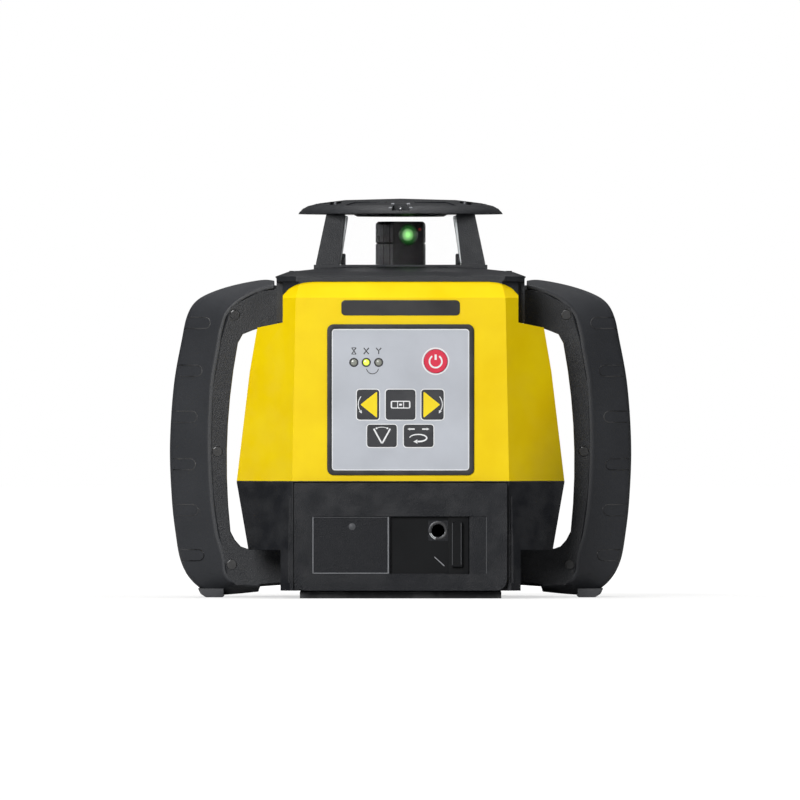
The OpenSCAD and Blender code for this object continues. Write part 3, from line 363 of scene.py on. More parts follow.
# Moulded finishes: name, colour (or the setting that holds it), roughness, grains against the grain setting,
# pits, bump, wear, dust, and where they aren't the usual ones, coat and shine.
MOULDINGS = [
    ("Yellow shell", "shell_yellow", 0.36, 0.6, 0.35, 0.05, 0.10, 0.008, 0.0, 0.16),
    ("Black shell", "shell_black", 0.44, 1.0, 0.9, 0.75, 0.12, 0.02),
    ("Pack shell", "pack_black", 0.42, 1.0, 0.9, 0.75, 0.12, 0.004, 0.0, 0.16),
    # Darker than the pack: the lock slider's black made darker as painted shade in its well, and the painted
    # shade of the sheets on the well's floor and of the ring round the pack's pin.
    ("Lock black", (0.0045, 0.005, 0.006), 0.34, 0.7, 0.3, 0.06, 0.0, 0.0, 0.0, 0.12),
    ("Grip rubber", "rubber", 0.46, 0.9, 0.7, 0.45, 0.12, 0.02),
    ("Satin black", "bezel", 0.34, 0.7, 0.3, 0.06, 0.30, 0.05),
    ("Keypad membrane", "panel", 0.42, 1.4, 0.5, 0.06, 0.0, 0.05),
    ("Key rubber", "key", 0.48, 1.2, 0.4, 0.08, 0.15, 0.04),
    ("Power rubber", "power", 0.40, 1.2, 0.4, 0.06, 0.10, 0.03, 0.2),
    ("White print", "symbol", 0.45, 2.0, 0.4, 0.05, 0.0, 0.04),
    ("Yellow print", "arrow", 0.42, 2.0, 0.4, 0.05, 0.0, 0.02),
    ("Dark print", (0.05, 0.05, 0.055), 0.45, 2.0, 0.4, 0.05, 0.0, 0.02),
    ("Coated plate", (0.024, 0.025, 0.028), 0.44, 0.8, 0.6, 0.10, 0.5, 0.12),
    ("Rotor black", (0.007, 0.007, 0.008), 0.26, 0.5, 0.2, 0.04, 0.25, 0.01, 0.0, 0.22),
    ("Belt", (0.02, 0.02, 0.02), 0.6, 0.5, 0.8, 0.3, 0.1, 0.15),
    ("Circuit board", "board", 0.35, 0.1344, 1.0, 0.25, 0.2, 0.12),
    ("Cell wrap", "cell", 0.25, 0.0672, 0.2, 0.1, 0.1, 0.05, 0.5),
    # Near black lines on the grips: painted shade in the finger grooves.
    ("Groove line", (0.010, 0.0105, 0.012), 0.30, 1.0, 0.3, 0.05, 0.5, 0.0),
    # A pale grey for thin strips that are painted highlight: the light caught along edges of the hat and the
    # battery pack.
    ("Worn edge", (0.30, 0.31, 0.33), 0.42, 1.0, 0.5, 0.10, 0.1, 0.06),
    # A dim grey: the colour of the pack's pin, and painted highlight for the dimmer lines on the pack's right
    # and upper edges and on the lock's rib.
    ("Dark mark", (0.075, 0.078, 0.085), 0.5, 1.0, 0.5, 0.1, 0.0, 0.02),
    ("Rotor satin", (0.030, 0.032, 0.035), 0.30, 1.0, 0.3, 0.08, 0.2, 0.01),
    # The screws' own black, made darker than the other blacks as painted shade in their wells.
    ("Screw black", (0.006, 0.006, 0.007), 0.28, 1.0, 0.3, 0.05, 0.3, 0.0, 0.0, 0.6),
    ("Dark lens", (0.30, 0.31, 0.27), 0.12, 1.0, 0.2, 0.02, 0.0, 0.02, 0.8),
    ("Red lens", (0.35, 0.01, 0.02), 0.15, 1.0, 0.2, 0.02, 0.0, 0.02, 0.8),
    # A pale grey for painted glints: strips along the window posts and arcs on the charge jack's rim.
    ("Frosted edge", (0.66, 0.69, 0.70), 0.32, 1.0, 0.4, 0.06, 0.0, 0.03),
]


def build_finishes():
    """Every finish that the construction's nodes take."""
    tints, sizes, _ = settings()
    for name, tint, rough, grains, *rest in MOULDINGS:
        rgb = getattr(tints, tint) if isinstance(tint, str) else tint
        moulding(name, rgb, rough, grains / sizes.grain, *rest)
    metal("Cast alloy", tints.alloy, 0.42, 1500.0, 0.25)
    metal("Steel", tints.steel, 0.26)
    metal("Blackened steel", (0.055, 0.056, 0.06), 0.34)
    metal("Brass", tints.brass, 0.28)
    clear("Pane glass", (1.0, 1.0, 1.0), 1.12)
    clear("Optical glass", (0.85, 0.95, 0.9), 1.52, 0.0)


NODE_FINISH = {
    "Yellow shell": ["upper_housing"],
    "Black shell": ["top_deck", "head_frame", "hat", "left_handle", "right_handle"],
    "Pack shell": ["lower_housing", "battery_front", "battery_case", "battery_bay"],
    "Lock black": ["lock_slider"],
    "Grip rubber": ["left_grip", "right_grip", "handle_feet", "seam_seal"],
    "Satin black": ["badge_plate", "keypad_bezel"],
    "Keypad membrane": ["keypad_panel"],
    "Key rubber": ["left_key", "level_key", "right_key", "slope_key", "scan_key"],
    "Power rubber": ["power_key"],
    "Pane glass": ["window_panes"],
    "Optical glass": ["penta_prism", "collimator_lens", "indicator_lights", "beam_window"],
    "Coated plate": ["base_plate"],
    "Screw black": ["handle_screws"],
    "Blackened steel": ["housing_screws", "hat_screws", "sight_pins", "charge_jack"],
    "Cast alloy": ["chassis", "gimbal_ring", "laser_barrel", "motor_bracket"],
    "Steel": ["gimbal_pins", "spindle", "spindle_bearings", "drive_motor", "tilt_motor_x", "tilt_motor_y"],
    "Brass": ["tripod_bush", "motor_pulley", "driven_pulley", "tilt_fork_x", "tilt_fork_y",
              "battery_contacts", "laser_diode"],
    "Rotor black": ["rotor_head", "rotor_cap", "tilt_sensor", "encoder_disc"],
    "Belt": ["drive_belt"],
    "Circuit board": ["keypad_board", "main_board"],
    "Cell wrap": ["battery_cells"],
}

# ---------------------------------------------------------------- mesh helpers

def soften(node, width, segments=3):
    """Rounds the edges of one of the construction's nodes and shades it smoothly."""
    piece = NODES[node]
    smooth_faces(piece)
    weld = piece.modifiers.new("Join seams", "WELD")
    weld.merge_threshold = 0.01 * MM
    bevel, normals = edge_round(piece, width, segments, 28.0)
    bevel.miter_outer = "MITER_ARC"
    normals.weight = 60


def smooth_faces(piece):
    """Drops stored normals and shades every face smoothly."""
    for name in ("custom_normal", "sharp_edge", "sharp_face"):
        stored = piece.data.attributes.get(name)
        if stored is not None:
            piece.data.attributes.remove(stored)
    piece.data.polygons.foreach_set("use_smooth", [True] * len(piece.data.polygons))


def new_piece(name, points, faces, finish, body, slot, smooth=True):
    """A mesh piece that rides on a body."""
    mesh = bpy.data.meshes.new(name)
    mesh.from_pydata([tuple(point) for point in points], [], faces)
    mesh.validate()
    mesh.polygons.foreach_set("use_smooth", [smooth] * len(mesh.polygons))
    piece = bpy.data.objects.new(name, mesh)
    bpy.context.scene.collection.objects.link(piece)
    mesh.materials.append(FINISHES[finish])
    face_outwards(mesh)
    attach(piece, body)
    return piece


def face_outwards(mesh):
    """Turns every face of a closed mesh outwards."""
    work = bmesh.new()
    work.from_mesh(mesh)
    bmesh.ops.recalc_face_normals(work, faces=work.faces)
    work.to_mesh(mesh)
    work.free()


def edge_round(piece, width, segments=3, angle=30.0):
    """Rounds a piece's edges of more than some angle and evens its shading; gives both modifiers."""
    bevel = piece.modifiers.new("Rounded edges", "BEVEL")
    bevel.width = width
    bevel.segments = segments
    bevel.limit_method = "ANGLE"
    bevel.angle_limit = math.radians(angle)
    normals = piece.modifiers.new("Even shading", "WEIGHTED_NORMAL")
    normals.keep_sharp = False
    return bevel, normals


def loft(rings, closed_ends=True):
    """Points and faces of a skin through rings that have the same number of points."""
    count = len(rings[0])
    points = [point for ring in rings for point in ring]
    faces = []
    for i in range(len(rings) - 1):
        for j in range(count):
            k = (j + 1) % count
            faces.append((i * count + j, i * count + k, (i + 1) * count + k, (i + 1) * count + j))
    if closed_ends:
        faces.append(tuple(range(count)))
        faces.append(tuple(reversed(range((len(rings) - 1) * count, len(rings) * count))))
    return points, faces


def spline(rows, steps):
    """Rows of numbers, smoothed by a curve that passes through each of them."""
    ends = [[2 * a - b for a, b in zip(rows[0], rows[1])], [2 * a - b for a, b in zip(rows[-1], rows[-2])]]
    padded = [ends[0], *rows, ends[1]]
    smooth = []
    for i in range(1, len(padded) - 2):
        for step in range(steps):
            t = step / steps
            smooth.append([catmull(t, *values) for values in zip(*padded[i - 1:i + 3])])
    return [*smooth, rows[-1]]


def catmull(t, a, b, c, d):
    """A point between b and c on the curve through a, b, c and d."""
    square, cube = 2 * a - 5 * b + 4 * c - d, 3 * b - a - 3 * c + d
    return 0.5 * (2 * b + (c - a) * t + square * t * t + cube * t ** 3)


def rounded_path(corners, steps=5):
    """A closed outline with each corner (x, y, radius) replaced by an arc."""
    outline = []
    count = len(corners)
    for i, (x, y, radius) in enumerate(corners):
        here = Vector((x, y))
        to_last = (Vector(corners[i - 1][:2]) - here)
        to_next = (Vector(corners[(i + 1) % count][:2]) - here)
        half = to_last.angle(to_next) / 2
        reach = min(radius / math.tan(half), 0.48 * min(to_last.length, to_next.length))
        start, end = here + to_last.normalized() * reach, here + to_next.normalized() * reach
        for step in range(steps + 1):
            t = step / steps
            outline.append(start * (1 - t) ** 2 + here * 2 * t * (1 - t) + end * t ** 2)
    return outline


def rounded_box(left, right, low, high, radius):
    """The outline of a box with rounded corners."""
    corners = [(left, low), (right, low), (right, high), (left, high)]
    return rounded_path([(x, z, radius) for x, z in corners])


def slab(name, outline, depth, height, finish, body, slot, strip=False):
    """A flat piece on a face that looks towards -Y: its outline (x, z) pushed out by height.

    A strip is the outline of a line, and its face is a row of four-cornered faces across that line.
    """
    count = len(outline)
    front = [(x, depth - height, z) for x, z in outline]
    back = [(x, depth + SEAT, z) for x, z in outline]
    if strip:
        faces = [(i, i + 1, count - 2 - i, count - 1 - i) for i in range(count // 2 - 1)]
    else:
        faces = [tuple(range(count))]
    faces += [tuple(count + corner for corner in reversed(face)) for face in faces]
    faces += [(i, count + i, count + (i + 1) % count, (i + 1) % count) for i in range(count)]
    return new_piece(name, front + back, faces, finish, body, slot, smooth=False)


def metres(points):
    """Points (x, z) in metres from millimetres."""
    return [(x * MM, z * MM) for x, z in points]


def stroke(path, width, taper=None):
    """The outline of a line of some width along a path of (x, z) points."""
    left, right = [], []
    for i, here in enumerate(path):
        before = Vector(path[max(i - 1, 0)])
        after = Vector(path[min(i + 1, len(path) - 1)])
        along = (after - before).normalized()
        side = Vector((-along.y, along.x)) * width / 2 * (taper(i / (len(path) - 1)) if taper else 1.0)
        left.append(Vector(here) + side)
        right.append(Vector(here) - side)
    return left + right[::-1]


def line_on_face(name, path, width, depth, height, finish, body, slot):
    """A line along a path of (x, z) points in millimetres, on a face that looks towards -Y."""
    return slab(name, metres(stroke(path, width)), depth, height, finish, body, slot, strip=True)


def head(path, size):
    """The outline of an arrow head at the end of a path."""
    end = Vector(path[-1])
    along = (end - Vector(path[-3])).normalized()
    side = Vector((-along.y, along.x)) * size * 0.6
    return [end + along * size, end - along * size * 0.2 + side, end - along * size * 0.2 - side]


def arc(centre, radius, start, end, steps=16, squash=1.0):
    """Points along an arc; angles in degrees, squash flattens it in height."""
    turns = [math.radians(start + (end - start) * i / steps) for i in range(steps + 1)]
    return [(centre[0] + radius * math.cos(t), centre[1] + squash * radius * math.sin(t)) for t in turns]


def lathe(name, profile, place, finish, body, slot, along=(0, 0, 1), steps=48):
    """A turned piece: (radius, height) points round an axis through place."""
    turn = Vector((0, 0, 1)).rotation_difference(Vector(along)).to_matrix()
    rings = []
    for radius, height in profile:
        ring = []
        for i in range(steps):
            angle = 2 * PI * i / steps
            spoke = Vector((radius * math.cos(angle), radius * math.sin(angle), height))
            ring.append(Vector(place) + turn @ spoke)
        rings.append(ring)
    points, faces = loft(rings)
    return new_piece(name, points, faces, finish, body, slot)


# ---------------------------------------------------------------- handles

# Right handle, from its upper root round to its lower root, in millimetres: how far the outer contour
# lies inside the handle's reach and its height, the same for the inner contour, and the width of the
# flat front face measured from the inner contour.
HANDLE_STATIONS = [
    (56.1, 164.3, 56.1, 141.8, 20.8), (48.2, 164.9, 48.6, 140.6, 20.3), (33.2, 162.1, 42.2, 138.4, 17.8),
    (20.6, 157.9, 38.3, 136.6, 14.6), (13.2, 153.2, 36.4, 134.4, 12.2), (9.0, 145.8, 35.3, 131.0, 11.2),
    (6.4, 134.0, 34.2, 124.0, 10.7), (2.2, 110.0, 31.8, 108.0, 10.6), (0.2, 79.0, 29.9, 79.0, 9.8),
    (1.1, 52.0, 30.3, 52.0, 9.1), (3.0, 34.0, 32.3, 35.0, 8.9), (5.8, 18.8, 34.8, 29.2, 9.6),
    (11.6, 8.4, 37.6, 26.4, 12.4), (21.4, 1.6, 41.0, 25.2, 18.8), (32.4, 1.4, 47.2, 25.0, 21.4),
    (58.0, 4.0, 58.0, 25.0, 19.0),
]
# Finger grooves: the height of each and how far out its closed end lies, in millimetres.
GROOVES = [(21.8, 102.1), (45.2, 105.1), (69.0, 106.5), (93.7, 105.6), (117.6, 103.1), (142.4, 98.8)]
GROOVE_HALF = 2.9  # half of the space between a groove's two arms
GROOVE_REACH, GROOVE_MIDDLE, GROOVE_TAPER = 17.5, 79, 0.045  # arm's length, where it is longest, loss per mm
LINE_HALF, LINE_RISE = 0.42 * MM, 0.16 * MM  # section of the groove's line
SKIN = 2.6 * MM  # thickness of the rubber
INSET = 0.04 * MM  # how far the rubber's front and rear lie inside the handle's
BARE_START, BARE_END = 3, 6  # stations at the upper and the lower root that the rubber leaves bare


def handle_frames(reach, steps):
    """Stations round the handle: inner point, direction outwards, full width and face width."""
    frames = []
    for outer_in, outer_z, inner_in, inner_z, face in spline(HANDLE_STATIONS, steps):
        inner = Vector((reach - inner_in * MM, inner_z * MM))
        outer = Vector((reach - outer_in * MM, outer_z * MM))
        across = outer - inner
        frames.append((inner, across.normalized(), across.length, face * MM))
    return frames


def handle_ring(station, outline, side):
    """One ring of the grip in space."""
    inner, out, _, _ = station
    ring = []
    for u, y in outline:
        place = inner + out * u
        ring.append(Vector((side * place.x, y, place.y)))
    return ring


def finger_groove(name, skin, side, facing, height, inner):
    """A U-shaped line on the grip's slanted side, closed towards the hand, whose dark colour is painted shade
    in a finger groove; facing is -1 for the front.
    """
    outer_x = inner + GROOVE_REACH - abs(height - GROOVE_MIDDLE) * GROOVE_TAPER
    bend = [(inner + GROOVE_HALF - GROOVE_HALF * math.sin(math.radians(t)),
             height + GROOVE_HALF * math.cos(math.radians(t))) for t in range(0, 181, 15)]
    straight = [inner + GROOVE_HALF + (outer_x - inner - GROOVE_HALF) * i / 8 for i in range(1, 9)]
    path = [(x, height + GROOVE_HALF) for x in reversed(straight)] + bend
    path += [(x, height - GROOVE_HALF) for x in straight]
    spine = []
    for x, z in path:
        start = Vector((side * x * MM, facing * 0.2, z * MM))
        place, normal, _, _ = skin.ray_cast(start, Vector((0, -facing, 0)))
        if place is not None:
            spine.append((place, normal if normal.y * facing > 0 else -normal))
    rings = []
    for i, (place, normal) in enumerate(spine):
        along = (spine[min(i + 1, len(spine) - 1)][0] - spine[max(i - 1, 0)][0]).normalized()
        across = along.cross(normal).normalized()
        side_step, rise = across * LINE_HALF, normal * LINE_RISE
        rings.append([place - side_step - rise, place - side_step * 0.45 + rise,
                      place + side_step * 0.45 + rise, place + side_step - rise])
    return new_piece(name, *loft(rings), "Groove line", "housing", "grip_rubber")


def build_grip(side, name):
    """The rubber over the outside of one handle, with its finger grooves."""
    low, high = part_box(f"{name}_grip")
    reach, half_depth = max(abs(low.x), abs(high.x)), high.y
    half_edge = half_depth / 3
    flat = half_depth - INSET
    rings = []
    for station in handle_frames(reach, 14):
        _, _, full, face = station
        crown, under = full - 0.1 * MM, full - SKIN
        outline = rounded_path([
            (face - 2 * MM, -flat, 0.3 * MM), (face, -flat, 2.6 * MM),
            (crown, -half_edge, 7 * MM), (crown, half_edge, 7 * MM),
            (face, flat, 2.6 * MM), (face - 2 * MM, flat, 0.3 * MM),
            (face - 1.6 * MM, half_depth - SKIN, 0.3 * MM), (under, half_edge, 4 * MM),
            (under, -half_edge, 4 * MM), (face - 1.6 * MM, -half_depth + SKIN, 0.3 * MM),
        ], 6)
        rings.append(handle_ring(station, outline, side))
    points, faces = loft(rings[BARE_START:-BARE_END])
    rubber = new_piece(f"{name}_grip_skin", points, faces, "Grip rubber", "housing", "grip_rubber")
    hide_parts(f"{name}_grip")
    skin = BVHTree.FromPolygons(points, faces)
    for index, (height, inner) in enumerate(GROOVES):
        for label, facing in (("front", -1), ("rear", 1)):
            finger_groove(f"{name}_groove_{label}_{index}", skin, side, facing, height, inner)


# ---------------------------------------------------------------- keypad symbols

def key_middle(node):
    """Middle of a key's face as (x, z), its half width, half height and the depth of its face."""
    low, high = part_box(node)
    flange = 1.0 * MM
    middle = Vector(((low.x + high.x) / 2, (low.z + high.z) / 2))
    return middle, (high.x - low.x) / 2 - flange, (high.z - low.z) / 2 - flange, low.y


def print_on(node, body, label, outline, finish="White print", slot="key_rubber", strip=False, rise=0.0,
             height=1.0):
    """Prints one outline, given round the middle of a key in millimetres, on that key.

    rise lifts the print off the key's face and height is its thickness, both in print heights.
    """
    _, sizes, _ = settings()
    middle, _, _, depth = key_middle(node)
    placed = [(middle.x + x * MM, middle.y + z * MM) for x, z in outline]
    return slab(f"{node}_{label}", placed, depth - sizes.print_height * rise, sizes.print_height * height,
                finish, body, slot, strip)


def draw_on(node, body, label, path, width, finish="White print", slot="key_rubber", taper=None):
    """Draws a line on a key."""
    return print_on(node, body, label, stroke(path, width, taper), finish, slot, strip=True)


def key_outline(node):
    """The pale line on the panel round a key."""
    middle, half_x, half_z, _ = key_middle(node)
    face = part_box("keypad_panel")[0].y
    rings = []
    for grow in (0.25 * MM, 0.75 * MM):
        x, z, radius = half_x + grow, half_z + grow, 1.5 * MM + grow
        rings.append([middle + point for point in rounded_box(-x, x, -z, z, radius)])
    band(f"{node}_outline", face, rings[1], rings[0], 0.07 * MM, "White print", "keypad_grey")


def arrow_key(node, body, side):
    """A yellow triangle and a small bent arrow; side is -1 for the left key."""
    triangle = rounded_path([(side * 3.9, 0, 0.5), (-side * 4.7, 6.9, 0.5), (-side * 4.7, -6.9, 0.5)])
    print_on(node, body, "arrow", triangle, "Yellow print")
    bow = [(side * x, z) for x, z in arc((-1.1, 0.2), 6.15, 40, -36, 14)]
    draw_on(node, body, "bow", bow, 0.42)
    print_on(node, body, "bow_tip", head(bow, 1.3))


def level_symbol(node, body):
    """A bubble vial: a rounded frame with three dark cells, the middle one with its bubble."""
    print_on(node, body, "vial", rounded_box(-5.1, 5.1, -2.0, 2.0, 1.0))
    for label, x, half_x, half_z, rise, finish in (
            ("cell_left", -3.05, 1.3, 1.45, 1, "Key rubber"),
            ("cell_middle", 0.0, 1.35, 1.45, 1, "Key rubber"),
            ("cell_right", 3.05, 1.3, 1.45, 1, "Key rubber"),
            ("bubble", 0.0, 0.75, 0.5, 2, "White print")):
        outline = rounded_box(x - half_x, x + half_x, -half_z, half_z, 0.3)
        print_on(node, body, label, outline, finish, rise=rise, height=0.6)


def slope_symbol(node, body):
    """A V with an arc between its tips."""
    for label, side in (("left", -1), ("right", 1)):
        draw_on(node, body, f"{label}_leg", [(side * 4.25, 3.7), (side * 2.2, -0.1), (side * 0.1, -3.9)], 0.8)
        print_on(node, body, f"{label}_dot", arc((side * 2.8, 3.9), 0.5, 0, 330, 10))
    draw_on(node, body, "bow", arc((0, -2.4), 6.9, 69, 111, 10), 0.3)


def scan_symbol(node, body):
    """A turning arrow with a slow and a fast arrow above it."""
    turn = arc((-0.2, -1.1), 4.4, 175, -100, 26, 0.42)
    draw_on(node, body, "turn", turn, 0.75, taper=lambda t: 0.6 + 0.6 * t)
    print_on(node, body, "turn_tip", head(turn, 1.8))
    for label, start, end in (("slow", -2.0, -4.6), ("fast", 1.8, 4.4)):
        draw_on(node, body, label, [(start, 3.5), ((start + end) / 2, 3.5), (end, 3.5)], 0.7)
        print_on(node, body, f"{label}_tip", head([(start, 3.5), (start, 3.5), (end, 3.5)], 1.1))


def power_symbol(node, body):
    """An open ring with a bar."""
    draw_on(node, body, "ring", arc((0, -0.1), 3.2, 56, -236, 36), 0.85, slot="power_red")
    draw_on(node, body, "bar", [(0, 3.5), (0, 2.0), (0, 0.7)], 1.1, slot="power_red")


# Marks on the panel: name, line width and path, in millimetres of the level's own frame.
PANEL_MARKS = [
    ("mark_x_a", 0.55, [(-19.0, 129.3), (-17.7, 127.7), (-16.4, 126.1)]),
    ("mark_x_b", 0.55, [(-16.4, 129.3), (-17.0, 128.5), (-17.5, 127.95)]),
    ("mark_x_c", 0.55, [(-17.9, 127.45), (-18.4, 126.8), (-19.0, 126.1)]),
    ("mark_y_a", 0.55, [(-12.6, 129.3), (-11.95, 128.5), (-11.3, 127.7), (-11.3, 126.1)]),
    ("mark_y_b", 0.55, [(-10.0, 129.3), (-10.5, 128.7), (-11.0, 128.1)]),
    ("mark_beam_a", 0.5, [(-25.2, 129.3), (-24.1, 127.7), (-23.0, 126.1)]),
    ("mark_beam_b", 0.5, [(-23.0, 129.3), (-23.5, 128.6), (-23.95, 127.95)]),
    ("mark_beam_c", 0.5, [(-24.25, 127.45), (-24.7, 126.8), (-25.2, 126.1)]),
    ("mark_beam_d", 0.35, [(-25.3, 129.35), (-24.1, 129.35), (-22.9, 129.35)]),
    ("mark_beam_e", 0.35, [(-25.3, 126.05), (-24.1, 126.05), (-22.9, 126.05)]),
    ("mark_pair", 0.4, arc((-14.5, 119.0), 3.1, 190, 350, 16)),
]
POWER_KEY_MIDDLE = (18.1, 122.4)


def panel_mark(name, path, width, finish="Dark print"):
    """Draws a line on the keypad's panel."""
    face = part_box("keypad_panel")[0].y
    return line_on_face(name, path, width, face, settings()[1].print_height, finish, "housing", "keypad_grey")


# ---------------------------------------------------------------- small builders

def surface(name):
    """A node's own surface, for laying details on it."""
    node = NODES[name]
    points = [node.matrix_world @ vertex.co for vertex in node.data.vertices]
    return BVHTree.FromPolygons(points, [tuple(face.vertices) for face in node.data.polygons])


def bar_between(name, start, end, half_width, half_depth, finish, body, slot, across=(1, 0, 0)):
    """A slim strip from start to end, wide along across and thin along its other side."""
    start, end = Vector(start), Vector(end)
    along = (end - start).normalized()
    side = along.cross(Vector(across)).normalized()
    across = side.cross(along).normalized()
    points = []
    for place in (start, end):
        for a, b in ((-1, -1), (1, -1), (1, 1), (-1, 1)):
            points.append(place + across * half_width * a + side * half_depth * b)
    piece = new_piece(name, points, BOX_FACES, finish, body, slot)
    edge_round(piece, min(half_width, half_depth) * 0.5)
    return piece


def chamfered_block(name, low, high, finish, body, slot, width):
    """A block between two corners, in millimetres, with rounded edges."""
    low, high = Vector(low) * MM, Vector(high) * MM
    points = [(x, y, z) for z in (low.z, high.z) for x, y in
              ((low.x, low.y), (high.x, low.y), (high.x, high.y), (low.x, high.y))]
    piece = new_piece(name, points, BOX_FACES, finish, body, slot)
    edge_round(piece, width * MM)
    return piece


def band(name, node_face, outer, inner, push, finish, slot):
    """A thin frame between two outlines with the same number of points, on a face that looks towards -Y."""
    rings = []
    for outline, depth in ((inner, SEAT), (outer, SEAT), (outer, -push), (inner, -push)):
        rings.append([Vector((x, node_face + depth, z)) for x, z in outline])
    points, faces = loft([*rings, rings[0]], closed_ends=False)
    count = len(outer)
    points = points[:4 * count]
    faces = [tuple(corner % (4 * count) for corner in face) for face in faces]
    return new_piece(name, points, faces, finish, "housing", slot, smooth=False)


def box_outline(half, low, high, radius, grow=0.0):
    """A rounded rectangle (x, z) in metres from millimetres, grown by grow."""
    x, bottom, top = half + grow, low - grow, high + grow
    return [point * MM for point in rounded_box(-x, x, bottom, top, radius + grow)]


# ---------------------------------------------------------------- operators

BLACK_ROUNDED = ("lower_housing", "top_deck", "battery_front", "left_handle", "right_handle", "hat")
OWN_EDGES = {"upper_housing", "head_frame", "left_grip", "right_grip", "indicator_lights", "window_panes",
             *BLACK_ROUNDED}


class LEVEL_OT_finishes(bpy.types.Operator):
    """Builds the finishes and puts them on the construction's nodes"""
    bl_idname = "level.finishes"
    bl_label = "Finishes"

    def execute(self, context):
        build_effects()
        build_finishes()
        for finish, names in NODE_FINISH.items():
            for name in names:
                piece = NODES[name]
                piece.data.materials.clear()
                piece.data.materials.append(FINISHES[finish])
                piece.data.polygons.foreach_set("material_index", [0] * len(piece.data.polygons))
        return {"FINISHED"}


class LEVEL_OT_edges(bpy.types.Operator):
    """Rounds the edges of the mouldings and of the metal parts"""
    bl_idname = "level.edges"
    bl_label = "Rounded edges"

    def execute(self, context):
        _, sizes, _ = settings()
        soften("upper_housing", sizes.shell_edge)
        for name in BLACK_ROUNDED:
            soften(name, sizes.black_edge)
        soften("head_frame", sizes.black_edge * 0.7)
        for name in NODES:
            if name not in OWN_EDGES:
                soften(name, sizes.small_edge, segments=2)
        smooth_faces(NODES["window_panes"])
        return {"FINISHED"}


class LEVEL_OT_grips(bpy.types.Operator):
    """Lofts the rubber over both handles"""
    bl_idname = "level.grips"
    bl_label = "Handle grips"

    def execute(self, context):
        build_grip(-1, "left")
        build_grip(1, "right")
        return {"FINISHED"}


# Hat and head, in millimetres.
# STRIP_ENDS gives the ends of the painted highlight strips beside each sight notch.
STRIP_ENDS = ((5.4, 2.6), (3.9, 9.5))  # sideways from a notch's middle, and inwards from the hat's edge
PIN_RADIUS = 0.9
FOOT_X, FOOT_Y = (28.6, 31.0), (23.5, 27.5)  # sides of a window post's foot
FOOT_DROP, FOOT_TOP = 0.3, 5.6  # below and above the panes' lower edge


class LEVEL_OT_hat(bpy.types.Operator):
    """Adds the painted highlight strips beside the sight notches, the sight pins and the feet inside the
    window posts
    """
    bl_idname = "level.hat_details"
    bl_label = "Hat and head details"

    def execute(self, context):
        spins = [Matrix.Rotation(turn * PI / 2, 3, "Z") for turn in range(4)]
        low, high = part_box("hat")
        skin = surface("hat")
        for turn, spin in enumerate(spins):
            # Two pale strips beside each notch: painted highlight.
            for label, side in (("a", -1), ("b", 1)):
                ends = []
                for across, inward in STRIP_ENDS:
                    above = spin @ Vector((side * across * MM, -(high.x - inward * MM), low.z + 30 * MM))
                    ends.append(skin.ray_cast(above, Vector((0, 0, -1)))[0])
                bar_between(f"sight_strip_{turn}{label}", *ends, 0.8 * MM, 0.18 * MM, "Worn edge", "housing",
                            "black_shell", spin @ Vector((1, 0, 0)))
        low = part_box("sight_pins")[0]
        radius = PIN_RADIUS * MM
        for turn, spin in enumerate(spins):
            foot = spin @ Vector((0, low.y + radius, 0))
            profile = [(TIP, low.z), (radius, low.z), (radius, low.z + 1.3 * MM),
                       (0.7 * MM, low.z + 1.5 * MM), (TIP, low.z + 1.5 * MM)]
            pin = lathe(f"sight_pin_{turn}", profile, foot, "Steel", "housing", "steel", steps=20)
            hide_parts("sight_pins")
        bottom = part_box("window_panes")[0].z / MM
        for x in (-1, 1):
            for y in (-1, 1):
                left, right = sorted(x * edge for edge in FOOT_X)
                front, back = sorted(y * edge for edge in FOOT_Y)
                chamfered_block(f"post_foot_{x + 1}{y + 1}", (left, front, bottom - FOOT_DROP),
                                (right, back, bottom + FOOT_TOP), "Black shell", "housing", "black_shell",
                                0.5)
        return {"FINISHED"}


class LEVEL_OT_panes(bpy.types.Operator):
    """Adds pale strips at the side edges of the four panes, painted highlights along the window posts"""
    bl_idname = "level.pane_edges"
    bl_label = "Pane edges"

    def execute(self, context):
        low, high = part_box("window_panes")
        foot_y, top_y = high.y - 1.05 * MM, high.y - 5.35 * MM
        for label, side in (("left", -1), ("right", 1)):
            for place, facing in (("", -1), ("rear_", 1)):
                foot = (side * 31.9 * MM, facing * foot_y, low.z + 0.6 * MM)
                top = (side * 28.2 * MM, facing * top_y, high.z - 0.8 * MM)
                bar_between(f"pane_edge_{place}{label}", foot, top, 0.9 * MM, 1.15 * MM, "Frosted edge",
                            "housing", "pane_glass")
        return {"FINISHED"}


class LEVEL_OT_keypad(bpy.types.Operator):
    """Prints the symbols on the keys and the marks on the panel"""
    bl_idname = "level.keypad"
    bl_label = "Keypad symbols"

    def execute(self, context):
        for node in ("left_key", "level_key", "right_key", "slope_key", "scan_key"):
            key_outline(node)
        arrow_key("left_key", "left_button", -1)
        arrow_key("right_key", "right_button", 1)
        level_symbol("level_key", "level_button")
        slope_symbol("slope_key", "slope_button")
        scan_symbol("scan_key", "scan_button")
        power_symbol("power_key", "power_button")
        panel_mark("power_surround", arc(POWER_KEY_MIDDLE, 6.75, 0, 360, 48), 0.7, "White print")
        for name, width, path in PANEL_MARKS:
            panel_mark(name, path, width)
        low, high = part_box("keypad_panel")
        outer, inner = [box_outline(high.x / MM, low.z / MM, high.z / MM, 1.9, grow)
                        for grow in (-0.15, -0.6)]
        band("panel_rim", low.y, outer, inner, 0.12 * MM, "White print", "keypad_grey")
        return {"FINISHED"}


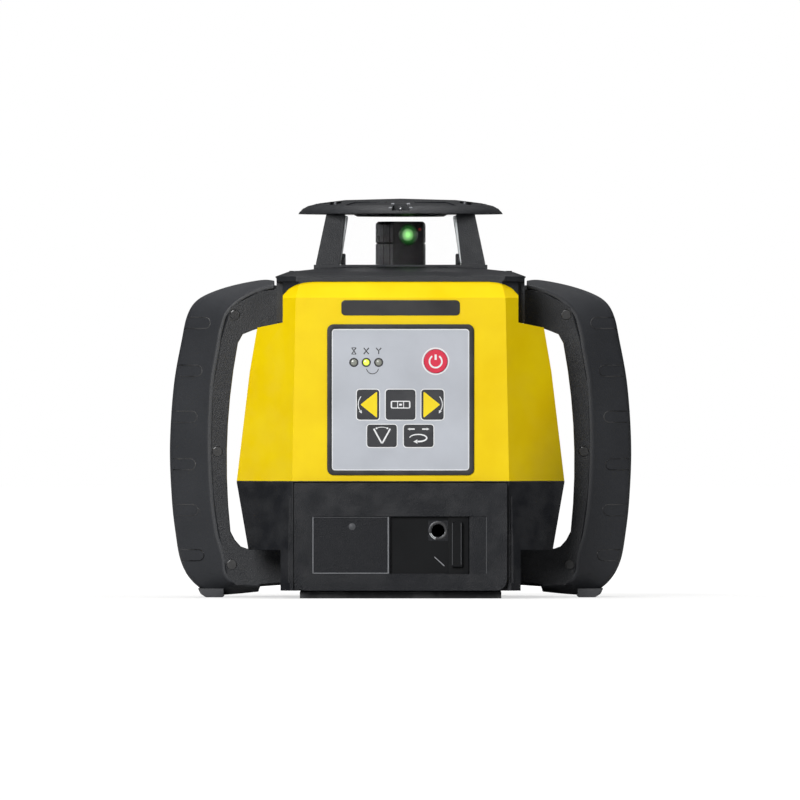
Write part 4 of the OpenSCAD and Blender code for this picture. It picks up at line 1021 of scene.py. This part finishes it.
class LEVEL_OT_lights(bpy.types.Operator):
    """Builds the three indicator lights, the middle one lit"""
    bl_idname = "level.indicator_lights"
    bl_label = "Indicator lights"

    def execute(self, context):
        low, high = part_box("indicator_lights")
        radius, height = (high.z - low.z) / 2, (low.z + high.z) / 2
        middle = (low.x + high.x) / 2
        face, panel = -low.y, -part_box("keypad_panel")[0].y
        lamp("Lit lens", (0.75, 0.9, 0.1), (0.80, 1.0, 0.05), 3.2, (middle, low.y, height), radius * 1.1)
        lens_profile = [(TIP, face), (radius * 0.55, face - 0.03 * MM), (radius * 0.85, face - 0.16 * MM),
                        (radius * 0.94, face - 0.4 * MM), (radius * 0.94, -high.y), (TIP, -high.y)]
        ring_profile = [(radius * 0.96, panel - 0.3 * MM), (radius * 0.96, panel + 0.1 * MM),
                        (radius * 1.3, panel + 0.1 * MM), (radius * 1.34, panel - 0.05 * MM),
                        (radius * 1.34, panel - 0.3 * MM), (radius * 0.96, panel - 0.3 * MM)]
        lenses = []
        for label, x, finish in (("power", low.x + radius, "Dark lens"), ("x", middle, "Lit lens"),
                                 ("y", high.x - radius, "Dark lens")):
            place = (x, 0.0, height)
            lenses.append(lathe(f"light_{label}", lens_profile, place, finish, "housing", "light_lens",
                                along=(0, -1, 0), steps=32))
            lathe(f"light_ring_{label}", ring_profile, place, "Dark print", "housing", "keypad_grey",
                  along=(0, -1, 0), steps=32)
        for lens in lenses:
            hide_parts("indicator_lights")
        return {"FINISHED"}


# The rotor: height of the seam round it, and where each facet starts and ends, in degrees from the front.
ROTOR_SEAM = 183.8 * MM
FACETS = [(-86, -44), (-41.5, -27), (-24.5, -18.6), (67, 84), (87, 128), (132, 173), (177, 218), (222, 268)]


class LEVEL_OT_rotor(bpy.types.Operator):
    """Adds the facets round the rotor and the glow of the beam, painted as a glowing ring on the rotor's face
    """
    bl_idname = "level.rotor_face"
    bl_label = "Rotor facets and beam"

    def execute(self, context):
        low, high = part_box("rotor_head")
        radius = max(high.x, -low.x) + 0.1 * MM
        rows = (("low", low.z + 0.6 * MM, ROTOR_SEAM - 0.5 * MM),
                ("high", ROTOR_SEAM + 0.5 * MM, high.z - 0.3 * MM))
        for index, (start, end) in enumerate(FACETS):
            for label, bottom, top in rows:
                facet(f"rotor_facet_{index}_{label}", radius, start, end, bottom, top)
        window_low, window_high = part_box("beam_window")
        middle = (window_low + window_high) / 2
        aim = Vector((middle.x, middle.y, 0)).normalized()
        lamp("Beam window", (0.01, 0.03, 0.01), settings()[0].beam, 1.5, tuple(middle), 4.6 * MM)
        # The halo is painted glow: an emissive ring on the rotor's black face round the window.
        lamp("Beam halo", (0.006, 0.008, 0.006), (0.02, 0.42, 0.03), 0.9, tuple(middle), 5.9 * MM)
        NODES["beam_window"].data.materials.clear()
        NODES["beam_window"].data.materials.append(FINISHES["Beam window"])
        flat = middle + aim * (0.52 * MM)
        inner, outer, proud = 3.35 * MM, 5.6 * MM, 0.42 * MM
        lathe("beam_halo", [(inner, 0.0), (inner, proud), (outer, proud), (outer, 0.0), (inner, 0.0)], flat,
              "Beam halo", "rotor", "rotor_black", along=tuple(aim))
        side = Vector((0, 0, 1)).cross(aim)
        eye = 0.7 * MM
        lathe("rotor_eye", [(TIP, 0.5 * MM), (eye, 0.45 * MM), (eye, 0.0), (TIP, 0.0)],
              flat + side * (6.6 * MM) + Vector((0, 0, 2.8 * MM)), "Red lens", "rotor", "light_lens",
              along=tuple(aim), steps=20)
        return {"FINISHED"}


def facet(name, radius, start, end, bottom, top):
    """A thin plate on the rotor's round side; angles go from the front to the right, in degrees."""
    steps = max(3, int((end - start) / 4))
    corners = [(radius - 0.3 * MM, bottom), (radius, bottom), (radius, top), (radius - 0.3 * MM, top)]
    slices = []
    for i in range(steps + 1):
        angle = math.radians(start + (end - start) * i / steps)
        slices.append([Vector((r * math.sin(angle), -r * math.cos(angle), z)) for r, z in corners])
    piece = new_piece(name, *loft(slices), "Rotor satin", "rotor", "rotor_black")
    edge_round(piece, 0.08 * MM, segments=2, angle=50.0)
    return piece


# The battery pack's front, in millimetres: the middle of its pin, its lines (name, width, finish and path),
# which are painted highlights along the edges of its field and well, brighter on the left and below, and the
# sheets on the floor of its well round the charge socket (name, left, right, bottom and top), which are
# painted shade.
PACK_PIN = (-25.0, 37.1)
PACK_HIGHLIGHT_LINES = [
    # The seam line is a painted highlight along the left edge of the well.
    ("seam", 0.4, "Worn edge", [(-6.4, 12.9), (-6.4, 27.0), (-6.4, 42.1)]),
    ("edge_left", 0.35, "Worn edge", [(-45.2, 12.9), (-45.2, 27.0), (-45.2, 42.1)]),
    ("edge_right", 0.35, "Dark mark", [(44.3, 12.9), (44.3, 27.0), (44.3, 42.1)]),
    ("edge_low", 0.3, "Worn edge", [(-45.2, 13.1), (-26.0, 13.1), (-6.4, 13.1)]),
    ("edge_high", 0.25, "Dark mark", [(-45.2, 41.9), (-26.0, 41.9), (-6.4, 41.9)]),
]
LINE_DEPTH = 0.7  # of the field's lines behind the front
WELL_SHADE_SHEETS = [("left", -5.2, 14.2, 12.9, 42.1), ("low", 14.2, 35.3, 12.9, 29.8),
               ("high", 14.2, 35.3, 40.2, 42.1)]
WELL_DEPTH = 3.8  # of the well's floor behind the front


class LEVEL_OT_battery(bpy.types.Operator):
    """Adds the pin, seam, mark and jack details of the battery pack's front: its pale lines and glints are
    painted highlights, and the dark sheets in its well and the dark ring round its pin are painted shade
    """
    bl_idname = "level.battery_details"
    bl_label = "Battery details"

    def execute(self, context):
        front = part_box("battery_front")[0].y
        face = -front
        x, z = PACK_PIN
        profile = [(TIP, face - 0.5 * MM), (1.5 * MM, face - 0.55 * MM), (2.0 * MM, face - 0.8 * MM),
                   (2.0 * MM, face - 1.6 * MM), (TIP, face - 1.6 * MM)]
        lathe("pack_pin", profile, (x * MM, 0, z * MM), "Dark mark", "battery", "black_shell",
              along=(0, -1, 0), steps=28)
        # A dark ring round the pin: painted shade in the gap round it.
        line_on_face("pack_pin_ring", arc(PACK_PIN, 2.35, 0, 360, 24), 0.6, front + 0.95 * MM, 0.2 * MM,
                     "Lock black", "battery", "black_shell")
        for label, width, tone, path in PACK_HIGHLIGHT_LINES:
            line_on_face(f"pack_{label}", path, width, front + LINE_DEPTH * MM, 0.2 * MM, tone, "battery",
                         "black_shell")
        floor = front + WELL_DEPTH * MM
        # Thin dark sheets on the well's floor: painted shade.
        for label, left, right, bottom, top in WELL_SHADE_SHEETS:
            corners = metres([(left, bottom), (right, bottom), (right, top), (left, top)])
            slab(f"pack_well_{label}", corners, floor, 0.02 * MM, "Lock black", "battery", "black_shell")
        # A pale V line: the painted highlight on the edge of the embossed mark on the well's floor.
        line_on_face("pack_mark", [(17.4, 21.5), (20.0, 19.15), (22.6, 16.8)], 0.4, floor, 0.035 * MM,
                     "Worn edge", "battery", "black_shell")
        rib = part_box("lock_slider")[0].y
        # Pale lines along the rib's two edges: painted highlight.
        for label, x in (("left", 26.7), ("right", 31.2)):
            line_on_face(f"lock_rib_{label}", [(x, 17.4), (x, 28.0), (x, 39.0)], 0.25, rib, 0.05 * MM,
                         "Dark mark", "lock", "black_shell")
        low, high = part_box("charge_jack")
        middle = (low + high) / 2
        rim, face = (high.x - low.x) / 2, -low.y
        profile = [(rim * 0.72, face - 0.2 * MM), (rim * 0.74, face + 0.02 * MM),
                   (rim * 0.96, face + 0.02 * MM), (rim * 0.99, face - 0.2 * MM),
                   (rim * 0.72, face - 0.2 * MM)]
        lathe("jack_rim", profile, (middle.x, 0, middle.z), "Satin black", "battery", "steel",
              along=(0, -1, 0), steps=40)
        # Two pale arcs at the jack's lower left: painted glint on its rim.
        for label, reach in (("inner", 0.80), ("outer", 0.93)):
            path = arc((middle.x / MM, middle.z / MM), rim / MM * reach, 198, 252, 9)
            line_on_face(f"jack_glint_{label}", path, 0.3, low.y, 0.035 * MM, "Frosted edge", "battery",
                         "steel")
        return {"FINISHED"}


class LEVEL_OT_stage(bpy.types.Operator):
    """Builds the floor, the lights and the camera"""
    bl_idname = "level.stage"
    bl_label = "Stage"

    def execute(self, context):
        build_floor()
        build_lights()
        build_camera()
        return {"FINISHED"}


def build_floor():
    """A wide pale floor, evenly white far out, where no light reaches."""
    tints, _, _ = settings()
    material, tree, shader = new_material("Paper floor")
    texture = use(tree, "grain", {"Scale": 700.0, "Pits": 0.2})
    tint = blend_colour(tree, texture["Gloss"], rgba(tints.floor, 0.96), rgba(tints.floor, 1.0))
    tree.links.new(tint, shader.inputs["Base Color"])
    shader.inputs["Roughness"].default_value = 0.85
    shader.inputs["Specular IOR Level"].default_value = 0.1
    place = add(tree, "ShaderNodeTexCoord").outputs["Object"]
    away = add(tree, "ShaderNodeVectorMath", {0: place}, operation="LENGTH").outputs["Value"]
    seen = add(tree, "ShaderNodeLightPath").outputs["Is Camera Ray"]
    glow = maths(tree, "MULTIPLY", remap(tree, away, 0.2, 0.6, 0.62, 1.0), seen)
    tree.links.new(blend_colour(tree, glow, BLACK, WHITE), shader.inputs["Emission Color"])
    shader.inputs["Emission Strength"].default_value = 1.0
    steps = 64
    points = [(0.0, 0.0, 0.0)]
    for radius in (0.5, 1.5, 4.0, 15.0):
        points += [(radius * math.cos(2 * PI * i / steps), radius * math.sin(2 * PI * i / steps), 0.0)
                   for i in range(steps)]
    faces = [(0, 1 + i, 1 + (i + 1) % steps) for i in range(steps)]
    for ring in range(3):
        low, high = 1 + ring * steps, 1 + (ring + 1) * steps
        faces += [(low + i, high + i, high + (i + 1) % steps, low + (i + 1) % steps) for i in range(steps)]
    mesh = bpy.data.meshes.new("paper_floor")
    mesh.from_pydata(points, [], faces)
    mesh.materials.append(material)
    floor = bpy.data.objects.new("paper_floor", mesh)
    bpy.context.scene.collection.objects.link(floor)


def area_light(name, place, aim, width, height, power):
    """A soft area light that looks at aim."""
    data = bpy.data.lights.new(name, "AREA")
    data.shape = "RECTANGLE"
    data.size, data.size_y, data.energy = width, height, power
    light = bpy.data.objects.new(name, data)
    light.location = place
    light.rotation_euler = (Vector(aim) - Vector(place)).to_track_quat("-Z", "Y").to_euler()
    bpy.context.scene.collection.objects.link(light)


def build_lights():
    """Soft studio lights and bright surroundings."""
    _, _, stage = settings()
    middle = (0, 0, 0.11)
    area_light("key_light", (-0.78, -2.65, 0.9), middle, 1.0, 1.0, stage.key_power)
    area_light("fill_light", (1.1, -2.3, 0.5), middle, 0.8, 1.2, stage.fill_power)
    area_light("top_light", (0.0, 0.1, 2.1), middle, 1.4, 1.4, stage.top_power)
    world = bpy.data.worlds.new("Surroundings")
    world.use_nodes = True
    tree = world.node_tree
    ground = tree.nodes["Background"]
    towards = add(tree, "ShaderNodeTexCoord").outputs["Generated"]
    way = add(tree, "ShaderNodeSeparateXYZ", {"Vector": towards})
    sideways = remap(tree, maths(tree, "ABSOLUTE", way.outputs["X"]), 0.3, 0.9, 0.0, 1.0)
    dim = stage.world_strength
    shade = blend_colour(tree, sideways, rgba((dim, dim, dim)), rgba((dim, dim, dim), 0.2))
    path = add(tree, "ShaderNodeLightPath")
    through = maths(tree, "MAXIMUM", path.outputs["Is Camera Ray"], path.outputs["Is Transmission Ray"])
    tree.links.new(blend_colour(tree, through, shade, WHITE), ground.inputs["Color"])
    ground.inputs["Strength"].default_value = 1.0
    bpy.context.scene.world = world
    bpy.context.scene.view_settings.view_transform = "Standard"


def build_camera():
    """A long lens at the level's own height, straight in front."""
    _, _, stage = settings()
    data = bpy.data.cameras.new("Camera")
    data.sensor_width = 36.0
    data.lens = 36.0 * stage.camera_distance / stage.view_width
    data.clip_end = 50.0
    camera = bpy.data.objects.new("Camera", data)
    camera.location = (-0.3 * MM, CAD_BOX[0][1] + 4.0 * MM - stage.camera_distance, stage.aim_height)
    camera.rotation_euler = (PI / 2, 0.0, 0.0)
    bpy.context.scene.collection.objects.link(camera)
    bpy.context.scene.camera = camera


# ---------------------------------------------------------------- add-on

class LEVEL_PT_panel(bpy.types.Panel):
    """Lists the steps and the settings of the level"""
    bl_idname = "LEVEL_PT_panel"
    bl_label = "Laser level"
    bl_space_type = "VIEW_3D"
    bl_region_type = "UI"
    bl_category = "Laser level"

    def draw(self, context):
        for group in settings():
            box = self.layout.box()
            for name in group.__annotations__:
                box.prop(group, name)
        for operator in OPERATORS:
            self.layout.operator(operator.bl_idname)


OPERATORS = (LEVEL_OT_finishes, LEVEL_OT_edges, LEVEL_OT_grips, LEVEL_OT_hat, LEVEL_OT_panes, LEVEL_OT_keypad,
             LEVEL_OT_lights, LEVEL_OT_rotor, LEVEL_OT_battery, LEVEL_OT_stage)
CLASSES = (LevelColours, LevelSizes, LevelStage, *OPERATORS, LEVEL_PT_panel)


def register():
    for made in CLASSES:
        bpy.utils.register_class(made)
    bpy.types.Scene.level_colours = PointerProperty(type=LevelColours)
    bpy.types.Scene.level_sizes = PointerProperty(type=LevelSizes)
    bpy.types.Scene.level_stage = PointerProperty(type=LevelStage)


def unregister():
    del bpy.types.Scene.level_stage
    del bpy.types.Scene.level_sizes
    del bpy.types.Scene.level_colours
    for made in reversed(CLASSES):
        bpy.utils.unregister_class(made)


def main():
    """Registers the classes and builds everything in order."""
    register()
    bpy.ops.level.finishes()
    bpy.ops.level.edges()
    bpy.ops.level.grips()
    bpy.ops.level.hat_details()
    bpy.ops.level.pane_edges()
    bpy.ops.level.keypad()
    bpy.ops.level.indicator_lights()
    bpy.ops.level.rotor_face()
    bpy.ops.level.battery_details()
    bpy.ops.level.stage()


if __name__ == "__main__":
    main()
